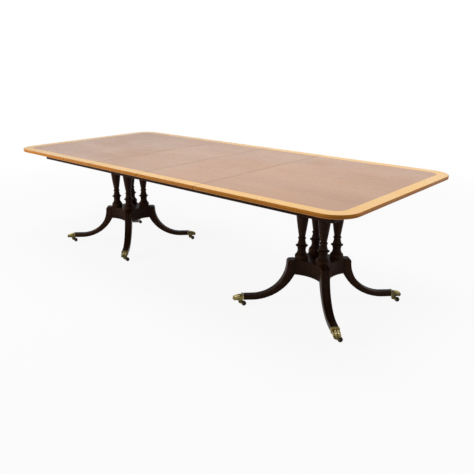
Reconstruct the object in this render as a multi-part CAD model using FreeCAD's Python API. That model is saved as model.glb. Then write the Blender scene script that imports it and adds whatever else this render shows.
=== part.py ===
import FreeCAD, Part
import math
import os

# Double pedestal dining table: two end sections, two lift-out leaves, turned columns, sabre legs
# and brass paw feet on swivelling casters.
# Millimetres, +Z up. The origin is on the floor under the middle of the top, +X runs along the
# length of the table and +Y across it.

# Overall sizes
table_length = 2700.0
table_width = 1216.0
table_height = 740.0
leaf_length = 457.0
pedestal_inset = 503.0

# Top sections and their borders
top_thickness = 21.0
top_corner_radius = 130.0
border_width = 66.0
edge_top_round = 3.0
edge_bottom_round = 7.0
tongue_depth = 8.0
tongue_thickness = 7.0
tongue_clearance = 0.1
seam_gap = 0.4
leaf_rest_gap = 0.3

# Apron under the top
apron_inset = 142.0
apron_height = 62.0
apron_thickness = 20.0
apron_corner_round = 12.0

# Telescoping runners, three on each side of the middle line
runner_spread = 300.0
runner_height = 42.0
runner_thickness = 30.0
runner_end_gap = 51.0
runner_overhang = 340.0
middle_runner_length = 900.0
slide_clearance = 0.3
dovetail_depth = 8.0
dovetail_neck = 12.0
dovetail_width = 18.0

# Blocks that join the columns to the top
block_width = 280.0
block_height = 40.0
block_chamfer = 12.0

# Turned columns
column_spacing = 142.0
column_radius = 39.5
tenon_radius = 14.0
tenon_length = 24.0
tenon_clearance = 0.05
tenon_end_gap = 0.5
# Each row is a height, a radius, and how far the turning bows out of the line from the row before
column_profile_shares = (
    (0.000, 0.95, 0.00),
    (0.020, 0.95, 0.00),
    (0.022, 0.91, 0.00),
    (0.066, 0.91, 0.06),
    (0.140, 0.585, -0.09),
    (0.178, 0.65, 0.00),
    (0.184, 0.67, 0.00),
    (0.195, 0.86, -0.02),
    (0.203, 0.86, 0.02),
    (0.214, 0.64, -0.02),
    (0.232, 0.60, -0.01),
    (0.288, 0.485, -0.02),
    (0.295, 0.51, 0.00),
    (0.317, 0.51, 0.08),
    (0.332, 0.46, 0.00),
    (0.640, 0.91, 0.025),
    (0.646, 0.94, 0.00),
    (0.676, 0.94, 0.09),
    (0.710, 0.70, -0.07),
    (0.800, 0.66, -0.02),
    (0.905, 0.84, -0.04),
    (0.935, 0.84, 0.07),
    (0.940, 0.92, 0.00),
    (1.000, 0.92, 0.00),
)

# Platforms that the columns stand on
platform_clearance = 186.0
platform_height = 86.0
platform_reach = 140.0
platform_hollow = 20.0
platform_edge_chamfer = 2.5

# Sabre legs
leg_head_width = 50.0
leg_head_depth = 43.0
leg_head_rise = 2.0
leg_head_round = 19.0
leg_reach = 432.0
leg_toe_length = 58.0
leg_toe_underside = 52.0
leg_tip_clearance = 36.0
leg_tip_depth = 28.0
leg_tip_width = 42.0
leg_groove_radius = 2.5
leg_groove_spacing = 26.0
leg_groove_start_share = 0.2
leg_dovetail_depth = 18.0
leg_dovetail_neck = 18.0
leg_dovetail_width = 26.0
leg_dovetail_height = 60.0
leg_dovetail_clearance = 0.1
leg_stub_length = 8.0
leg_stub_width = 30.0
leg_stub_depth = 18.0

# Brass paw toe caps
collar_lap = 8.0
collar_wall = 2.5
collar_length = 12.0
collar_round = 1.2
socket_clearance = 0.1
paw_clearance = 30.0
toe_cap_length = 69.0
paw_width = 43.0
paw_ankle_width = 38.0
paw_top_drop = 1.0
paw_nose_height = 12.0
paw_brow_height = 26.0
paw_brow_setback = 14.0
toe_count = 4
toe_bulge = 5.0
outer_toe_setback = 5.0

# Casters
caster_offset = 15.0
caster_trail = 24.0
caster_turn = 12.0
wheel_radius = 13.5
wheel_width = 12.0
wheel_edge_round = 2.5
wheel_dish_depth = 1.2
wheel_dish_radius = 9.0
wheel_hub_radius = 5.0
axle_radius = 2.5
axle_clearance = 0.05
axle_fit = 0.02
axle_head_radius = 3.4
axle_head_length = 1.2
fork_gap = 0.6
fork_thickness = 2.4
fork_eye_radius = 4.8
fork_shoulder_radius = 7.5
swivel_radius = 10.0
swivel_height = 9.0
swivel_clearance = 0.3
stem_radius = 4.0
stem_length = 14.0
stem_clearance = 0.05
stem_end_gap = 1.0

# One overrun for every cut, and one tolerance for finding edges by their place
overrun = 2.0
pick_tolerance = 0.01

# Handle of the smooth curve that stands for a quarter of a circle
quarter_handle_share = 0.5523

# Places worked out from the sizes above
half_length = table_length / 2
half_width = table_width / 2
top_underside = table_height - top_thickness
leaf_underside = top_underside + leaf_rest_gap
section_start = leaf_length + seam_gap / 2
pedestal_reach = half_length - pedestal_inset
block_underside = top_underside - block_height
platform_top = platform_clearance + platform_height
column_height = block_underside - platform_top
leg_head_top = platform_top + leg_head_rise
leg_tip_top = leg_tip_clearance + leg_tip_depth
leg_tip_middle = leg_tip_clearance + leg_tip_depth / 2
caster_reach = leg_reach + caster_offset
collar_back = leg_reach - collar_lap
paw_back = collar_back + collar_length
paw_front = collar_back + toe_cap_length
fork_inner = wheel_width / 2 + fork_gap
fork_outer = fork_inner + fork_thickness

Vec = FreeCAD.Vector
UP = Vec(0, 0, 1)
ACROSS = Vec(0, 1, 0)
ALONG = Vec(1, 0, 0)
ORIGIN = Vec(0, 0, 0)


def box(low, high):
    """A box between two corners."""
    size = high - low
    return Part.makeBox(size.x, size.y, size.z, low)


def rod(radius, start, end):
    """A round bar between two points."""
    run = end - start
    return Part.makeCylinder(radius, run.Length, start, run)


def closed_face(edges):
    """A flat face inside edges given in order."""
    return Part.Face(Part.Wire([edge.toShape() for edge in edges]))


def polygon(points):
    """A flat face with straight sides."""
    return Part.Face(Part.makePolygon(points + points[:1]))


def slab(face, bottom, top):
    """A face drawn at zero height, stood up between two heights."""
    solid = face.extrude(UP * (top - bottom))
    solid.translate(UP * bottom)
    return solid


def centred_across(face, width):
    """A face drawn in the XZ plane, thickened evenly to both sides."""
    solid = face.extrude(ACROSS * width)
    solid.translate(ACROSS * (-width / 2))
    return solid


def placed(shape, spot, turn):
    """A copy turned about the vertical and then moved."""
    copy = shape.copy()
    copy.rotate(ORIGIN, UP, turn)
    copy.translate(spot)
    return copy


def mirrored(shape, normal):
    """A mirror image across the plane through the origin with this normal."""
    return shape.mirror(ORIGIN, normal)


def end_outline(inset):
    """Plan of the right end section, drawn in by an inset along its three outer sides."""
    end = half_length - inset
    side = half_width - inset
    radius = top_corner_radius - inset
    turn = radius * (1 - math.cos(math.radians(45)))
    front_corner = Vec(end - turn, -side + turn, 0)
    back_corner = Vec(end - turn, side - turn, 0)
    stops = (
        Vec(section_start, -side, 0),
        Vec(end - radius, -side, 0),
        Vec(end, -side + radius, 0),
        Vec(end, side - radius, 0),
        Vec(end - radius, side, 0),
        Vec(section_start, side, 0),
    )
    return closed_face((
        Part.LineSegment(stops[0], stops[1]),
        Part.Arc(stops[1], front_corner, stops[2]),
        Part.LineSegment(stops[2], stops[3]),
        Part.Arc(stops[3], back_corner, stops[4]),
        Part.LineSegment(stops[4], stops[5]),
        Part.LineSegment(stops[5], stops[0]),
    ))


def rim_distance(point):
    """How far a point of the plan lies inside the rim of the whole top."""
    past_x = abs(point.x) - (half_length - top_corner_radius)
    past_y = abs(point.y) - (half_width - top_corner_radius)
    if past_x > 0 and past_y > 0:
        return top_corner_radius - math.hypot(past_x, past_y)
    return min(half_length - abs(point.x), half_width - abs(point.y))


def rim_edges(solid, height):
    """The edges of a border that run along the rim at one height."""
    found = []
    for edge in solid.Edges:
        middle = edge.valueAt((edge.FirstParameter + edge.LastParameter) / 2)
        on_height = abs(middle.z - height) < pick_tolerance
        if on_height and abs(rim_distance(middle)) < pick_tolerance:
            found.append(edge)
    return found


def rounded_rim(solid, underside):
    """A border with its top and bottom rim edges eased."""
    eased = solid.makeFillet(edge_top_round, rim_edges(solid, table_height))
    return eased.makeFillet(edge_bottom_round, rim_edges(eased, underside))


def tongue_heights(underside, clearance):
    """Bottom and top of the tongue or groove in the edge of a panel."""
    middle = (underside + table_height) / 2
    half = tongue_thickness / 2 + clearance
    return middle - half, middle + half


def end_panel():
    """Mahogany field of the right end section, with a tongue round its outer edges."""
    field = slab(end_outline(border_width), top_underside, table_height)
    tongue = slab(end_outline(border_width - tongue_depth), *tongue_heights(top_underside, 0))
    return field.fuse(tongue).removeSplitter()


def end_border():
    """Light border of the right end section, grooved for the panel's tongue."""
    groove_inset = border_width - tongue_depth - tongue_clearance
    rim = slab(end_outline(0), top_underside, table_height)
    rim = rim.cut(slab(end_outline(border_width), top_underside, table_height))
    rim = rounded_rim(rim, top_underside)
    return rim.cut(slab(end_outline(groove_inset), *tongue_heights(top_underside, tongue_clearance)))


def leaf_span():
    """Where the right leaf starts and ends along the table."""
    return seam_gap / 2, leaf_length - seam_gap / 2


def leaf_panel():
    """Mahogany field of the right leaf, with a tongue along each long side."""
    start, end = leaf_span()
    side = half_width - border_width
    low, high = tongue_heights(leaf_underside, 0)
    field = box(Vec(start, -side, leaf_underside), Vec(end, side, table_height))
    tongue = box(Vec(start, -side - tongue_depth, low), Vec(end, side + tongue_depth, high))
    return field.fuse(tongue).removeSplitter()


def leaf_border():
    """The two light border strips of the right leaf."""
    start, end = leaf_span()
    side = half_width - border_width
    low, high = tongue_heights(leaf_underside, tongue_clearance)
    groove_end = side + tongue_depth + tongue_clearance
    strip = box(Vec(start, side, leaf_underside), Vec(end, half_width, table_height))
    strip = rounded_rim(strip, leaf_underside)
    strip = strip.cut(box(Vec(start, side, low), Vec(end, groove_end, high)))
    return [strip, mirrored(strip, ACROSS)]


def side_rail(start, end, underside):
    """One long apron rail on the back side, between two stations along the table."""
    outside = half_width - apron_inset
    low = Vec(start, outside - apron_thickness, top_underside - apron_height)
    return box(low, Vec(end, outside, underside))


def end_apron():
    """Apron of the right end section: two side rails and the rail between them."""
    outside = half_width - apron_inset
    end = half_length - apron_inset
    rail = side_rail(section_start, end, top_underside)
    corner = [edge for edge in rail.Edges if is_upright_at(edge, end, outside)]
    rail = rail.makeFillet(apron_corner_round, corner)
    inside = outside - apron_thickness
    low = Vec(end - apron_thickness, -inside, top_underside - apron_height)
    cross = box(low, Vec(end, inside, top_underside))
    return [rail, mirrored(rail, ACROSS), cross]


def is_upright_at(edge, x, y):
    """Whether both ends of an edge stand on one spot of the plan."""
    spots = [vertex.Point for vertex in edge.Vertexes]
    return all(math.hypot(spot.x - x, spot.y - y) < pick_tolerance for spot in spots)


def leaf_apron():
    """The two apron rails of the right leaf."""
    start, end = leaf_span()
    rail = side_rail(start, end, leaf_underside)
    return [rail, mirrored(rail, ACROSS)]


def lane_start(lane):
    """Inner face of a runner, counted outwards from the innermost lane."""
    return runner_spread / 2 + lane * (runner_thickness + slide_clearance)


def runner_bar(lane, start, end, top, bottom):
    """A plain runner in one lane on the back side."""
    inner = lane_start(lane)
    return box(Vec(start, inner, bottom), Vec(end, inner + runner_thickness, top))


def dovetail(face_y, outward, start, end, grow):
    """A dovetail along the runners that stands off a runner's face, grown for a groove."""
    middle = top_underside - runner_height / 2
    neck = dovetail_neck / 2 + grow
    wide = dovetail_width / 2 + grow
    tip = face_y + outward * (dovetail_depth + grow)
    section = polygon([
        Vec(start, face_y, middle - neck),
        Vec(start, tip, middle - wide),
        Vec(start, tip, middle + wide),
        Vec(start, face_y, middle + neck),
    ])
    return section.extrude(ALONG * (end - start))


def section_runner(lane, grooved_face, outward):
    """A runner screwed under the right end section that reaches under the leaves."""
    start = leaf_length - runner_overhang
    end = half_length - apron_inset - apron_thickness - runner_end_gap
    bar = runner_bar(lane, start, end, top_underside, top_underside - runner_height)
    groove = dovetail(grooved_face, outward, start - overrun, end + overrun, slide_clearance)
    bar = bar.cut(groove)
    return [bar, mirrored(bar, ACROSS)]


def right_runners():
    """Runners of the right section, in the outer lanes."""
    middle_face = lane_start(1) + runner_thickness
    return section_runner(2, middle_face, 1)


def left_runners():
    """Runners of the left section, in the inner lanes, drawn on the right."""
    return section_runner(0, lane_start(1), -1)


def middle_runners():
    """The floating runners, with a dovetail on each face."""
    half = middle_runner_length / 2
    top = top_underside - slide_clearance
    bottom = top_underside - runner_height + slide_clearance
    bar = runner_bar(1, -half, half, top, bottom)
    inner = dovetail(lane_start(1), -1, -half, half, 0)
    outer = dovetail(lane_start(1) + runner_thickness, 1, -half, half, 0)
    bar = bar.multiFuse([inner, outer]).removeSplitter()
    return [bar, mirrored(bar, ACROSS)]


def column_spots():
    """The four column centres of a pedestal, about its axis."""
    half = column_spacing / 2
    return [Vec(x * half, y * half, 0) for x in (-1, 1) for y in (-1, 1)]


def top_block():
    """Block under the top, chamfered below and bored for the column tenons."""
    half = block_width / 2
    block = box(Vec(-half, -half, block_underside), Vec(half, half, top_underside))
    lower = [edge for edge in block.Edges if edge.BoundBox.ZMax < block_underside + pick_tolerance]
    block = block.makeChamfer(block_chamfer, lower)
    reach = UP * (block_underside + tenon_length + tenon_end_gap)
    for spot in column_spots():
        mouth = spot + UP * (block_underside - overrun)
        block = block.cut(rod(tenon_radius + tenon_clearance, mouth, spot + reach))
    return block


def column():
    """A turned column with a round tenon at each end, standing on the platform."""
    rows = [
        (platform_top + height * column_height, radius * column_radius, bow * column_radius)
        for height, radius, bow in column_profile_shares
    ]
    edges = [Part.LineSegment(Vec(0, 0, rows[0][0]), Vec(rows[0][1], 0, rows[0][0]))]
    for (z0, r0, _), (z1, r1, bow) in zip(rows, rows[1:]):
        start = Vec(r0, 0, z0)
        end = Vec(r1, 0, z1)
        if bow == 0:
            edges.append(Part.LineSegment(start, end))
            continue
        outward = Vec(z1 - z0, 0, r0 - r1).normalize()
        edges.append(Part.Arc(start, (start + end) / 2 + outward * bow, end))
    edges.append(Part.LineSegment(Vec(rows[-1][1], 0, rows[-1][0]), Vec(0, 0, rows[-1][0])))
    edges.append(Part.LineSegment(Vec(0, 0, rows[-1][0]), Vec(0, 0, rows[0][0])))
    turning = closed_face(edges).revolve(ORIGIN, UP, 360)
    tenon = rod(tenon_radius, UP * (platform_top - tenon_length), UP * (block_underside + tenon_length))
    return turning.fuse(tenon)


def platform_outline():
    """Square plan with a flat on each corner and a hollow curve along each side."""
    edges = []
    half = leg_head_width / 2
    for corner in range(4):
        outward = turned(ALONG, 45 + 90 * corner)
        sideways = turned(ACROSS, 45 + 90 * corner)
        flat_start = outward * platform_reach - sideways * half
        flat_end = outward * platform_reach + sideways * half
        next_start = turned(flat_start, 90)
        inward = turned(ALONG, 90 + 90 * corner) * -platform_hollow
        edges.append(Part.LineSegment(flat_start, flat_end))
        edges.append(Part.Arc(flat_end, (flat_end + next_start) / 2 + inward, next_start))
    return closed_face(edges)


def turned(vector, degrees):
    """A vector turned about the vertical."""
    return FreeCAD.Rotation(UP, degrees).multVec(vector)


def leg_dovetail(grow):
    """Dovetail that holds a leg's head in the platform, grown for its socket."""
    neck = leg_dovetail_neck / 2 + grow
    wide = leg_dovetail_width / 2 + grow
    back = platform_reach - leg_dovetail_depth - grow
    plan = polygon([
        Vec(platform_reach, -neck, 0),
        Vec(platform_reach, neck, 0),
        Vec(back, wide, 0),
        Vec(back, -wide, 0),
    ])
    return slab(plan, platform_clearance, platform_clearance + leg_dovetail_height + grow)


def platform():
    """Platform with a chamfered upper edge, sockets for the legs and bores for the columns."""
    block = slab(platform_outline(), platform_clearance, platform_top)
    upper = [edge for edge in block.Edges if edge.BoundBox.ZMin > platform_top - pick_tolerance]
    block = block.makeChamfer(platform_edge_chamfer, upper)
    for corner in range(4):
        block = block.cut(placed(leg_dovetail(leg_dovetail_clearance), ORIGIN, 45 + 90 * corner))
    depth = UP * (platform_top - tenon_length - tenon_end_gap)
    for spot in column_spots():
        mouth = spot + UP * (platform_top + overrun)
        block = block.cut(rod(tenon_radius + tenon_clearance, spot + depth, mouth))
    return block


def leg_sweep():
    """The upper curve of a leg, from upright under its head to level at its toe."""
    start = Vec(platform_reach + leg_head_depth, 0, leg_head_top - leg_head_round)
    end = Vec(leg_reach - leg_toe_length, 0, leg_tip_top)
    drop = UP * (start.z - end.z)
    run = ALONG * (end.x - start.x)
    sweep = Part.BezierCurve()
    sweep.setPoles([start, start - drop * quarter_handle_share, end - run * quarter_handle_share, end])
    return sweep


def leg_outline():
    """Side view of a leg, with X outwards from the pedestal's axis."""
    sweep = leg_sweep()
    shoulder = sweep.StartPoint - ALONG * leg_head_round
    slant = math.cos(math.radians(45))
    under_start = Vec(platform_reach, 0, platform_clearance)
    under_end = Vec(leg_reach - leg_toe_underside, 0, leg_tip_clearance)
    run = under_end.x - under_start.x
    rise = under_start.z - under_end.z
    under_radius = (run ** 2 + rise ** 2) / (2 * rise)
    under = under_end + UP * under_radius
    half_way = ((under_start - under) + (under_end - under)).normalize()
    return closed_face((
        Part.LineSegment(Vec(platform_reach, 0, leg_head_top), shoulder + UP * leg_head_round),
        Part.Arc(
            shoulder + UP * leg_head_round,
            shoulder + (ALONG + UP) * (leg_head_round * slant),
            sweep.StartPoint,
        ),
        sweep,
        Part.LineSegment(sweep.EndPoint, Vec(leg_reach, 0, leg_tip_top)),
        Part.LineSegment(Vec(leg_reach, 0, leg_tip_top), Vec(leg_reach, 0, leg_tip_clearance)),
        Part.LineSegment(Vec(leg_reach, 0, leg_tip_clearance), under_end),
        Part.Arc(under_end, under + half_way * under_radius, under_start),
        Part.LineSegment(under_start, Vec(platform_reach, 0, leg_head_top)),
    ))


def leg_taper():
    """Plan wedge that narrows a leg from its head to its tip."""
    head = leg_head_width / 2
    tip = leg_tip_width / 2
    plan = polygon([
        Vec(platform_reach, -head, 0),
        Vec(leg_reach, -tip, 0),
        Vec(leg_reach, tip, 0),
        Vec(platform_reach, head, 0),
    ])
    return slab(plan, 0, table_height)


def leg_groove(offset):
    """Round groove along the upper face of a leg, a set distance to one side."""
    curve = leg_sweep()
    curve.segment(leg_groove_start_share, 1)
    straight = Part.LineSegment(curve.EndPoint, Vec(leg_reach + overrun, 0, leg_tip_top))
    path = Part.Wire([curve.toShape(), straight.toShape()])
    ring = Part.Wire(Part.makeCircle(leg_groove_radius, curve.StartPoint, curve.tangent(0)[0]))
    groove = path.makePipeShell([ring], True, False)
    groove.translate(ACROSS * offset)
    return groove


def leg():
    """A grooved sabre leg with a dovetail at its head and a stub for the toe cap."""
    blank = centred_across(leg_outline(), leg_head_width).common(leg_taper())
    for offset in (-leg_groove_spacing / 2, leg_groove_spacing / 2):
        blank = blank.cut(leg_groove(offset))
    low = Vec(leg_reach, -leg_stub_width / 2, leg_tip_middle - leg_stub_depth / 2)
    high = Vec(leg_reach + leg_stub_length, leg_stub_width / 2, leg_tip_middle + leg_stub_depth / 2)
    return blank.multiFuse([leg_dovetail(0), box(low, high)]).removeSplitter()


def paw_side():
    """Side view of the paw in front of its collar."""
    top = leg_tip_top - paw_top_drop
    nose = Vec(paw_front, 0, paw_clearance + paw_nose_height)
    brow = Vec(paw_front - paw_brow_setback, 0, paw_clearance + paw_brow_height)
    chin = Vec(paw_front, 0, paw_clearance)
    back_low = Vec(paw_back, 0, paw_clearance)
    back_high = Vec(paw_back, 0, top)
    return closed_face((
        Part.LineSegment(back_low, chin),
        Part.LineSegment(chin, nose),
        Part.Arc(nose, brow, back_high),
        Part.LineSegment(back_high, back_low),
    ))


def paw_plan():
    """Plan of the paw, with one bulge for each toe across its front."""
    toe_width = paw_width / toe_count
    half = paw_width / 2
    ankle = paw_ankle_width / 2
    root = paw_front - toe_bulge
    stops = []
    for index in range(toe_count + 1):
        at_side = index in (0, toe_count)
        stops.append(Vec(root - outer_toe_setback * at_side, index * toe_width - half, 0))
    edges = [Part.LineSegment(Vec(paw_back, -ankle, 0), stops[0])]
    for start, end in zip(stops, stops[1:]):
        edges.append(Part.Arc(start, (start + end) / 2 + ALONG * toe_bulge, end))
    edges.append(Part.LineSegment(stops[-1], Vec(paw_back, ankle, 0)))
    edges.append(Part.LineSegment(Vec(paw_back, ankle, 0), Vec(paw_back, -ankle, 0)))
    return closed_face(edges)


def toe_cap():
    """Brass paw cap: a collar round the leg's tip, toes in front and a bore for the caster."""
    collar_half = leg_tip_width / 2 + collar_wall
    collar = box(
        Vec(collar_back, -collar_half, leg_tip_clearance - collar_wall),
        Vec(paw_back, collar_half, leg_tip_top + collar_wall),
    )
    collar = collar.makeFillet(collar_round, collar.Edges)
    paw = centred_across(paw_side(), paw_width).common(slab(paw_plan(), 0, table_height))
    cap = collar.fuse(paw)
    taper = (leg_head_width - leg_tip_width) / 2 / (leg_reach - platform_reach)
    mouth_half = leg_tip_width / 2 + taper * collar_lap + socket_clearance
    mouth = box(
        Vec(collar_back - overrun, -mouth_half, leg_tip_clearance - socket_clearance),
        Vec(leg_reach, mouth_half, leg_tip_top + socket_clearance),
    )
    pocket_half = leg_stub_width / 2 + socket_clearance
    pocket_rise = leg_stub_depth / 2 + socket_clearance
    pocket = box(
        Vec(leg_reach - overrun, -pocket_half, leg_tip_middle - pocket_rise),
        Vec(leg_reach + leg_stub_length + socket_clearance, pocket_half, leg_tip_middle + pocket_rise),
    )
    bore = rod(
        stem_radius + stem_clearance,
        Vec(caster_reach, 0, paw_clearance - overrun),
        Vec(caster_reach, 0, paw_clearance + stem_length + stem_end_gap),
    )
    return cap.cut(mouth).cut(pocket).cut(bore)


def link_outline(start, start_radius, end, end_radius):
    """Outline of a link in the XZ plane, round at both ends with straight tangent sides."""
    run = end - start
    heading = math.atan2(run.z, run.x)
    lean = math.acos((start_radius - end_radius) / run.Length)

    def rim(centre, radius, angle):
        return centre + Vec(math.cos(angle), 0, math.sin(angle)) * radius

    left = heading + lean
    right = heading - lean
    return closed_face((
        Part.LineSegment(rim(start, start_radius, left), rim(end, end_radius, left)),
        Part.Arc(rim(end, end_radius, left), rim(end, end_radius, heading), rim(end, end_radius, right)),
        Part.LineSegment(rim(end, end_radius, right), rim(start, start_radius, right)),
        Part.Arc(
            rim(start, start_radius, right),
            rim(start, start_radius, heading + math.pi),
            rim(start, start_radius, left),
        ),
    ))


def caster_fork():
    """Caster fork about its swivel axis, trailing along +X, and its riveted axle."""
    head_top = paw_clearance - swivel_clearance
    head_bottom = head_top - swivel_height
    head = rod(swivel_radius, UP * head_bottom, UP * head_top)
    stem = rod(stem_radius, UP * head_bottom, UP * (head_top + stem_length))
    axle_spot = Vec(caster_trail, 0, wheel_radius)
    shoulder = UP * (head_top - fork_shoulder_radius)
    cheek = link_outline(shoulder, fork_shoulder_radius, axle_spot, fork_eye_radius)
    arm = cheek.extrude(ACROSS * fork_thickness)
    arm.translate(ACROSS * fork_inner)
    fork = head.multiFuse([stem, arm, mirrored(arm, ACROSS)]).removeSplitter()
    reach = ACROSS * (fork_outer + overrun)
    fork = fork.cut(rod(axle_radius + axle_fit, axle_spot - reach, axle_spot + reach))
    side = ACROSS * fork_outer
    pin = rod(axle_radius, axle_spot - side, axle_spot + side)
    rivet = ACROSS * axle_head_length
    near_head = rod(axle_head_radius, axle_spot - side - rivet, axle_spot - side)
    far_head = rod(axle_head_radius, axle_spot + side, axle_spot + side + rivet)
    return [fork, pin.multiFuse([near_head, far_head]).removeSplitter()]


def caster_wheel():
    """Caster wheel with an eased tread, a dished face each side and a bore for the axle."""
    half = wheel_width / 2
    spot = Vec(caster_trail, 0, wheel_radius)
    wheel = rod(wheel_radius, spot - ACROSS * half, spot + ACROSS * half)
    wheel = wheel.makeFillet(wheel_edge_round, [edge for edge in wheel.Edges if edge.Closed])
    past = ACROSS * (half + overrun)
    dish = rod(wheel_dish_radius, spot + ACROSS * (half - wheel_dish_depth), spot + past)
    dish = dish.cut(rod(wheel_hub_radius, spot, spot + past))
    bore = rod(axle_radius + axle_clearance, spot - past, spot + past)
    return wheel.cut(dish).cut(mirrored(dish, ACROSS)).cut(bore)


def export(name, solids):
    """Writes one node: a single solid, or a group of separate solids."""
    shape = Part.makeCompound(solids) if isinstance(solids, list) else solids
    shape.exportStep("parts/" + name + ".step")


def both_sides(name, solids):
    """Writes a piece drawn for the right side and its mirror image for the left."""
    group = solids if isinstance(solids, list) else [solids]
    export("right_" + name, group)
    export("left_" + name, [mirrored(solid, ALONG) for solid in group])


def export_top():
    """The two end sections, the two leaves and the runners that carry them."""
    both_sides("top_panel", end_panel())
    both_sides("top_border", end_border())
    both_sides("apron", end_apron())
    both_sides("leaf_panel", leaf_panel())
    both_sides("leaf_border", leaf_border())
    both_sides("leaf_apron", leaf_apron())
    export("right_runners", right_runners())
    export("left_runners", [mirrored(bar, ALONG) for bar in left_runners()])
    export("middle_runners", middle_runners())


def export_corner(name, axis, along, across):
    """The column, leg, toe cap and caster at one corner of a pedestal."""
    turn = math.degrees(math.atan2(across, along))
    stand = axis + Vec(along, across, 0) * (column_spacing / 2)
    swivel = axis + turned(ALONG, turn) * caster_reach
    export(name + "_column", placed(COLUMN, stand, turn))
    export(name + "_leg", placed(LEG, axis, turn))
    export(name + "_toe_cap", placed(TOE_CAP, axis, turn))
    export(name + "_caster_fork", [placed(solid, swivel, caster_turn) for solid in CASTER_FORK])
    export(name + "_caster_wheel", placed(CASTER_WHEEL, swivel, caster_turn))


def export_pedestal(side, direction):
    """One pedestal: its block, its platform and its four corners."""
    axis = ALONG * (direction * pedestal_reach)
    export(side + "_top_block", placed(TOP_BLOCK, axis, 0))
    export(side + "_platform", placed(PLATFORM, axis, 0))
    for across, row in ((-1, "front"), (1, "back")):
        for along in (-1, 1):
            place = "outer" if along == direction else "inner"
            export_corner("_".join((side, row, place)), axis, along, across)


# Pieces that both pedestals share, drawn once about the pedestal's axis
TOP_BLOCK = top_block()
PLATFORM = platform()
COLUMN = column()
LEG = leg()
TOE_CAP = toe_cap()
CASTER_FORK = caster_fork()
CASTER_WHEEL = caster_wheel()

os.makedirs("parts", exist_ok=True)
export_top()
export_pedestal("left", -1)
export_pedestal("right", 1)
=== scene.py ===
import logging
import math
from abc import ABC, abstractmethod
from collections.abc import Sequence
from dataclasses import dataclass, replace
from enum import Enum
from itertools import accumulate
from typing import Any

import bmesh
import bpy
import numpy as np
from mathutils import Matrix, Vector


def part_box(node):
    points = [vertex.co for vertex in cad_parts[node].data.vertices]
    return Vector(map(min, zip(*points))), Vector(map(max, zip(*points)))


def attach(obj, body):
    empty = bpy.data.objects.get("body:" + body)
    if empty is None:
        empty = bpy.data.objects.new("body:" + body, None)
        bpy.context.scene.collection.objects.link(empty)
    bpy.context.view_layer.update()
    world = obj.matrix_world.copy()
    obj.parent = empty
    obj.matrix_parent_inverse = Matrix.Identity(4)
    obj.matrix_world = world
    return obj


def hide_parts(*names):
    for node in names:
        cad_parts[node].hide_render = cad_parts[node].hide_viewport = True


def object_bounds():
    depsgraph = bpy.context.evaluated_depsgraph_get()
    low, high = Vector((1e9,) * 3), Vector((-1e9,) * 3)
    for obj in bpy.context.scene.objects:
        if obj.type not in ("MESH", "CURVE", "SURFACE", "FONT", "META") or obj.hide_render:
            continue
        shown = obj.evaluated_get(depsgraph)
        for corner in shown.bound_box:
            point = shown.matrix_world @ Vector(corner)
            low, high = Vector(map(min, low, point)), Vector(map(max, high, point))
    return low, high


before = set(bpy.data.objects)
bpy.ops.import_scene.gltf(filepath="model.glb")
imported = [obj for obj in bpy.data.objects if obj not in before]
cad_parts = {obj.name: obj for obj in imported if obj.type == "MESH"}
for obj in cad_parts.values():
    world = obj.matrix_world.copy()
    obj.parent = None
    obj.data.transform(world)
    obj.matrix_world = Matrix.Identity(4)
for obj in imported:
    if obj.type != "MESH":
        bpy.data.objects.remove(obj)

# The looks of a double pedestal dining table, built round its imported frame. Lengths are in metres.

LOG = logging.getLogger("scene")
CAD_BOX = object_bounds()
IMAGE_SIZE = 474
MILLIMETRE = 0.001
ACROSS = Matrix.Diagonal((1, -1, 1, 1))

Rgb = tuple[float, float, float]
Point = tuple[float, float]
Socket = bpy.types.NodeSocket


class Side(Enum):
    """Half of the table that a piece belongs to; the value is its direction along X."""

    LEFT = -1
    RIGHT = 1

    @property
    def word(self) -> str:
        """The side's name as the frame's nodes spell it."""
        return self.name.lower()

    @property
    def half(self) -> str:
        """The frame's body that carries this side's top and pedestal."""
        return f"{self.word}_half"

    @property
    def leaf(self) -> str:
        """The frame's body that carries this side's loose leaf."""
        return f"{self.word}_leaf"

    @property
    def axis(self) -> Vector:
        """Middle of this side's pedestal, on the floor."""
        low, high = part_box(f"{self.word}_platform")
        return Vector(((low.x + high.x) / 2, 0, 0))


class Slot(Enum):
    """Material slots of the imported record."""

    FIELD = "mahogany_field"
    BORDER = "light_border"
    DARK = "dark_mahogany"
    RUNNER = "runner_wood"
    BRASS = "brass"
    TREAD = "wheel_tread"


class FibreRun(Enum):
    """Which way the fibre lies in a piece's own grain frame."""

    LENGTHWISE = "lengthwise"
    CROSSWISE = "crosswise"


class TreeKind(Enum):
    """Kinds of node groups, by Blender's names."""

    SHADER = "ShaderNodeTree"
    GEOMETRY = "GeometryNodeTree"


class Face(Enum):
    """How a runner's face is worked; the value is the direction that its dovetail stands in."""

    PLAIN = 0
    GROOVE = -1
    TONGUE = 1


@dataclass(frozen=True)
class Corner:
    """One corner of a pedestal, with its leg, column and caster.

    Args:
        side: Half of the table.
        along: Direction of the corner along X from the pedestal's axis, 1 or -1.
        across: Direction of the corner along Y, -1 at the front and 1 at the back.
    """

    side: Side
    along: int
    across: int

    @property
    def name(self) -> str:
        """Start of the names of this corner's nodes."""
        place = "outer" if self.along == self.side.value else "inner"
        return f"{self.side.word}_{'front' if self.across < 0 else 'back'}_{place}"

    @property
    def turn(self) -> Matrix:
        """Turn about the vertical that brings X onto the leg's direction."""
        return Matrix.Rotation(math.atan2(self.across, self.along), 4, "Z")


def corners_of(side: Side) -> list[Corner]:
    """The four corners of one pedestal."""
    return [Corner(side, along, across) for across in (-1, 1) for along in (-1, 1)]


# Shapes

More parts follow.
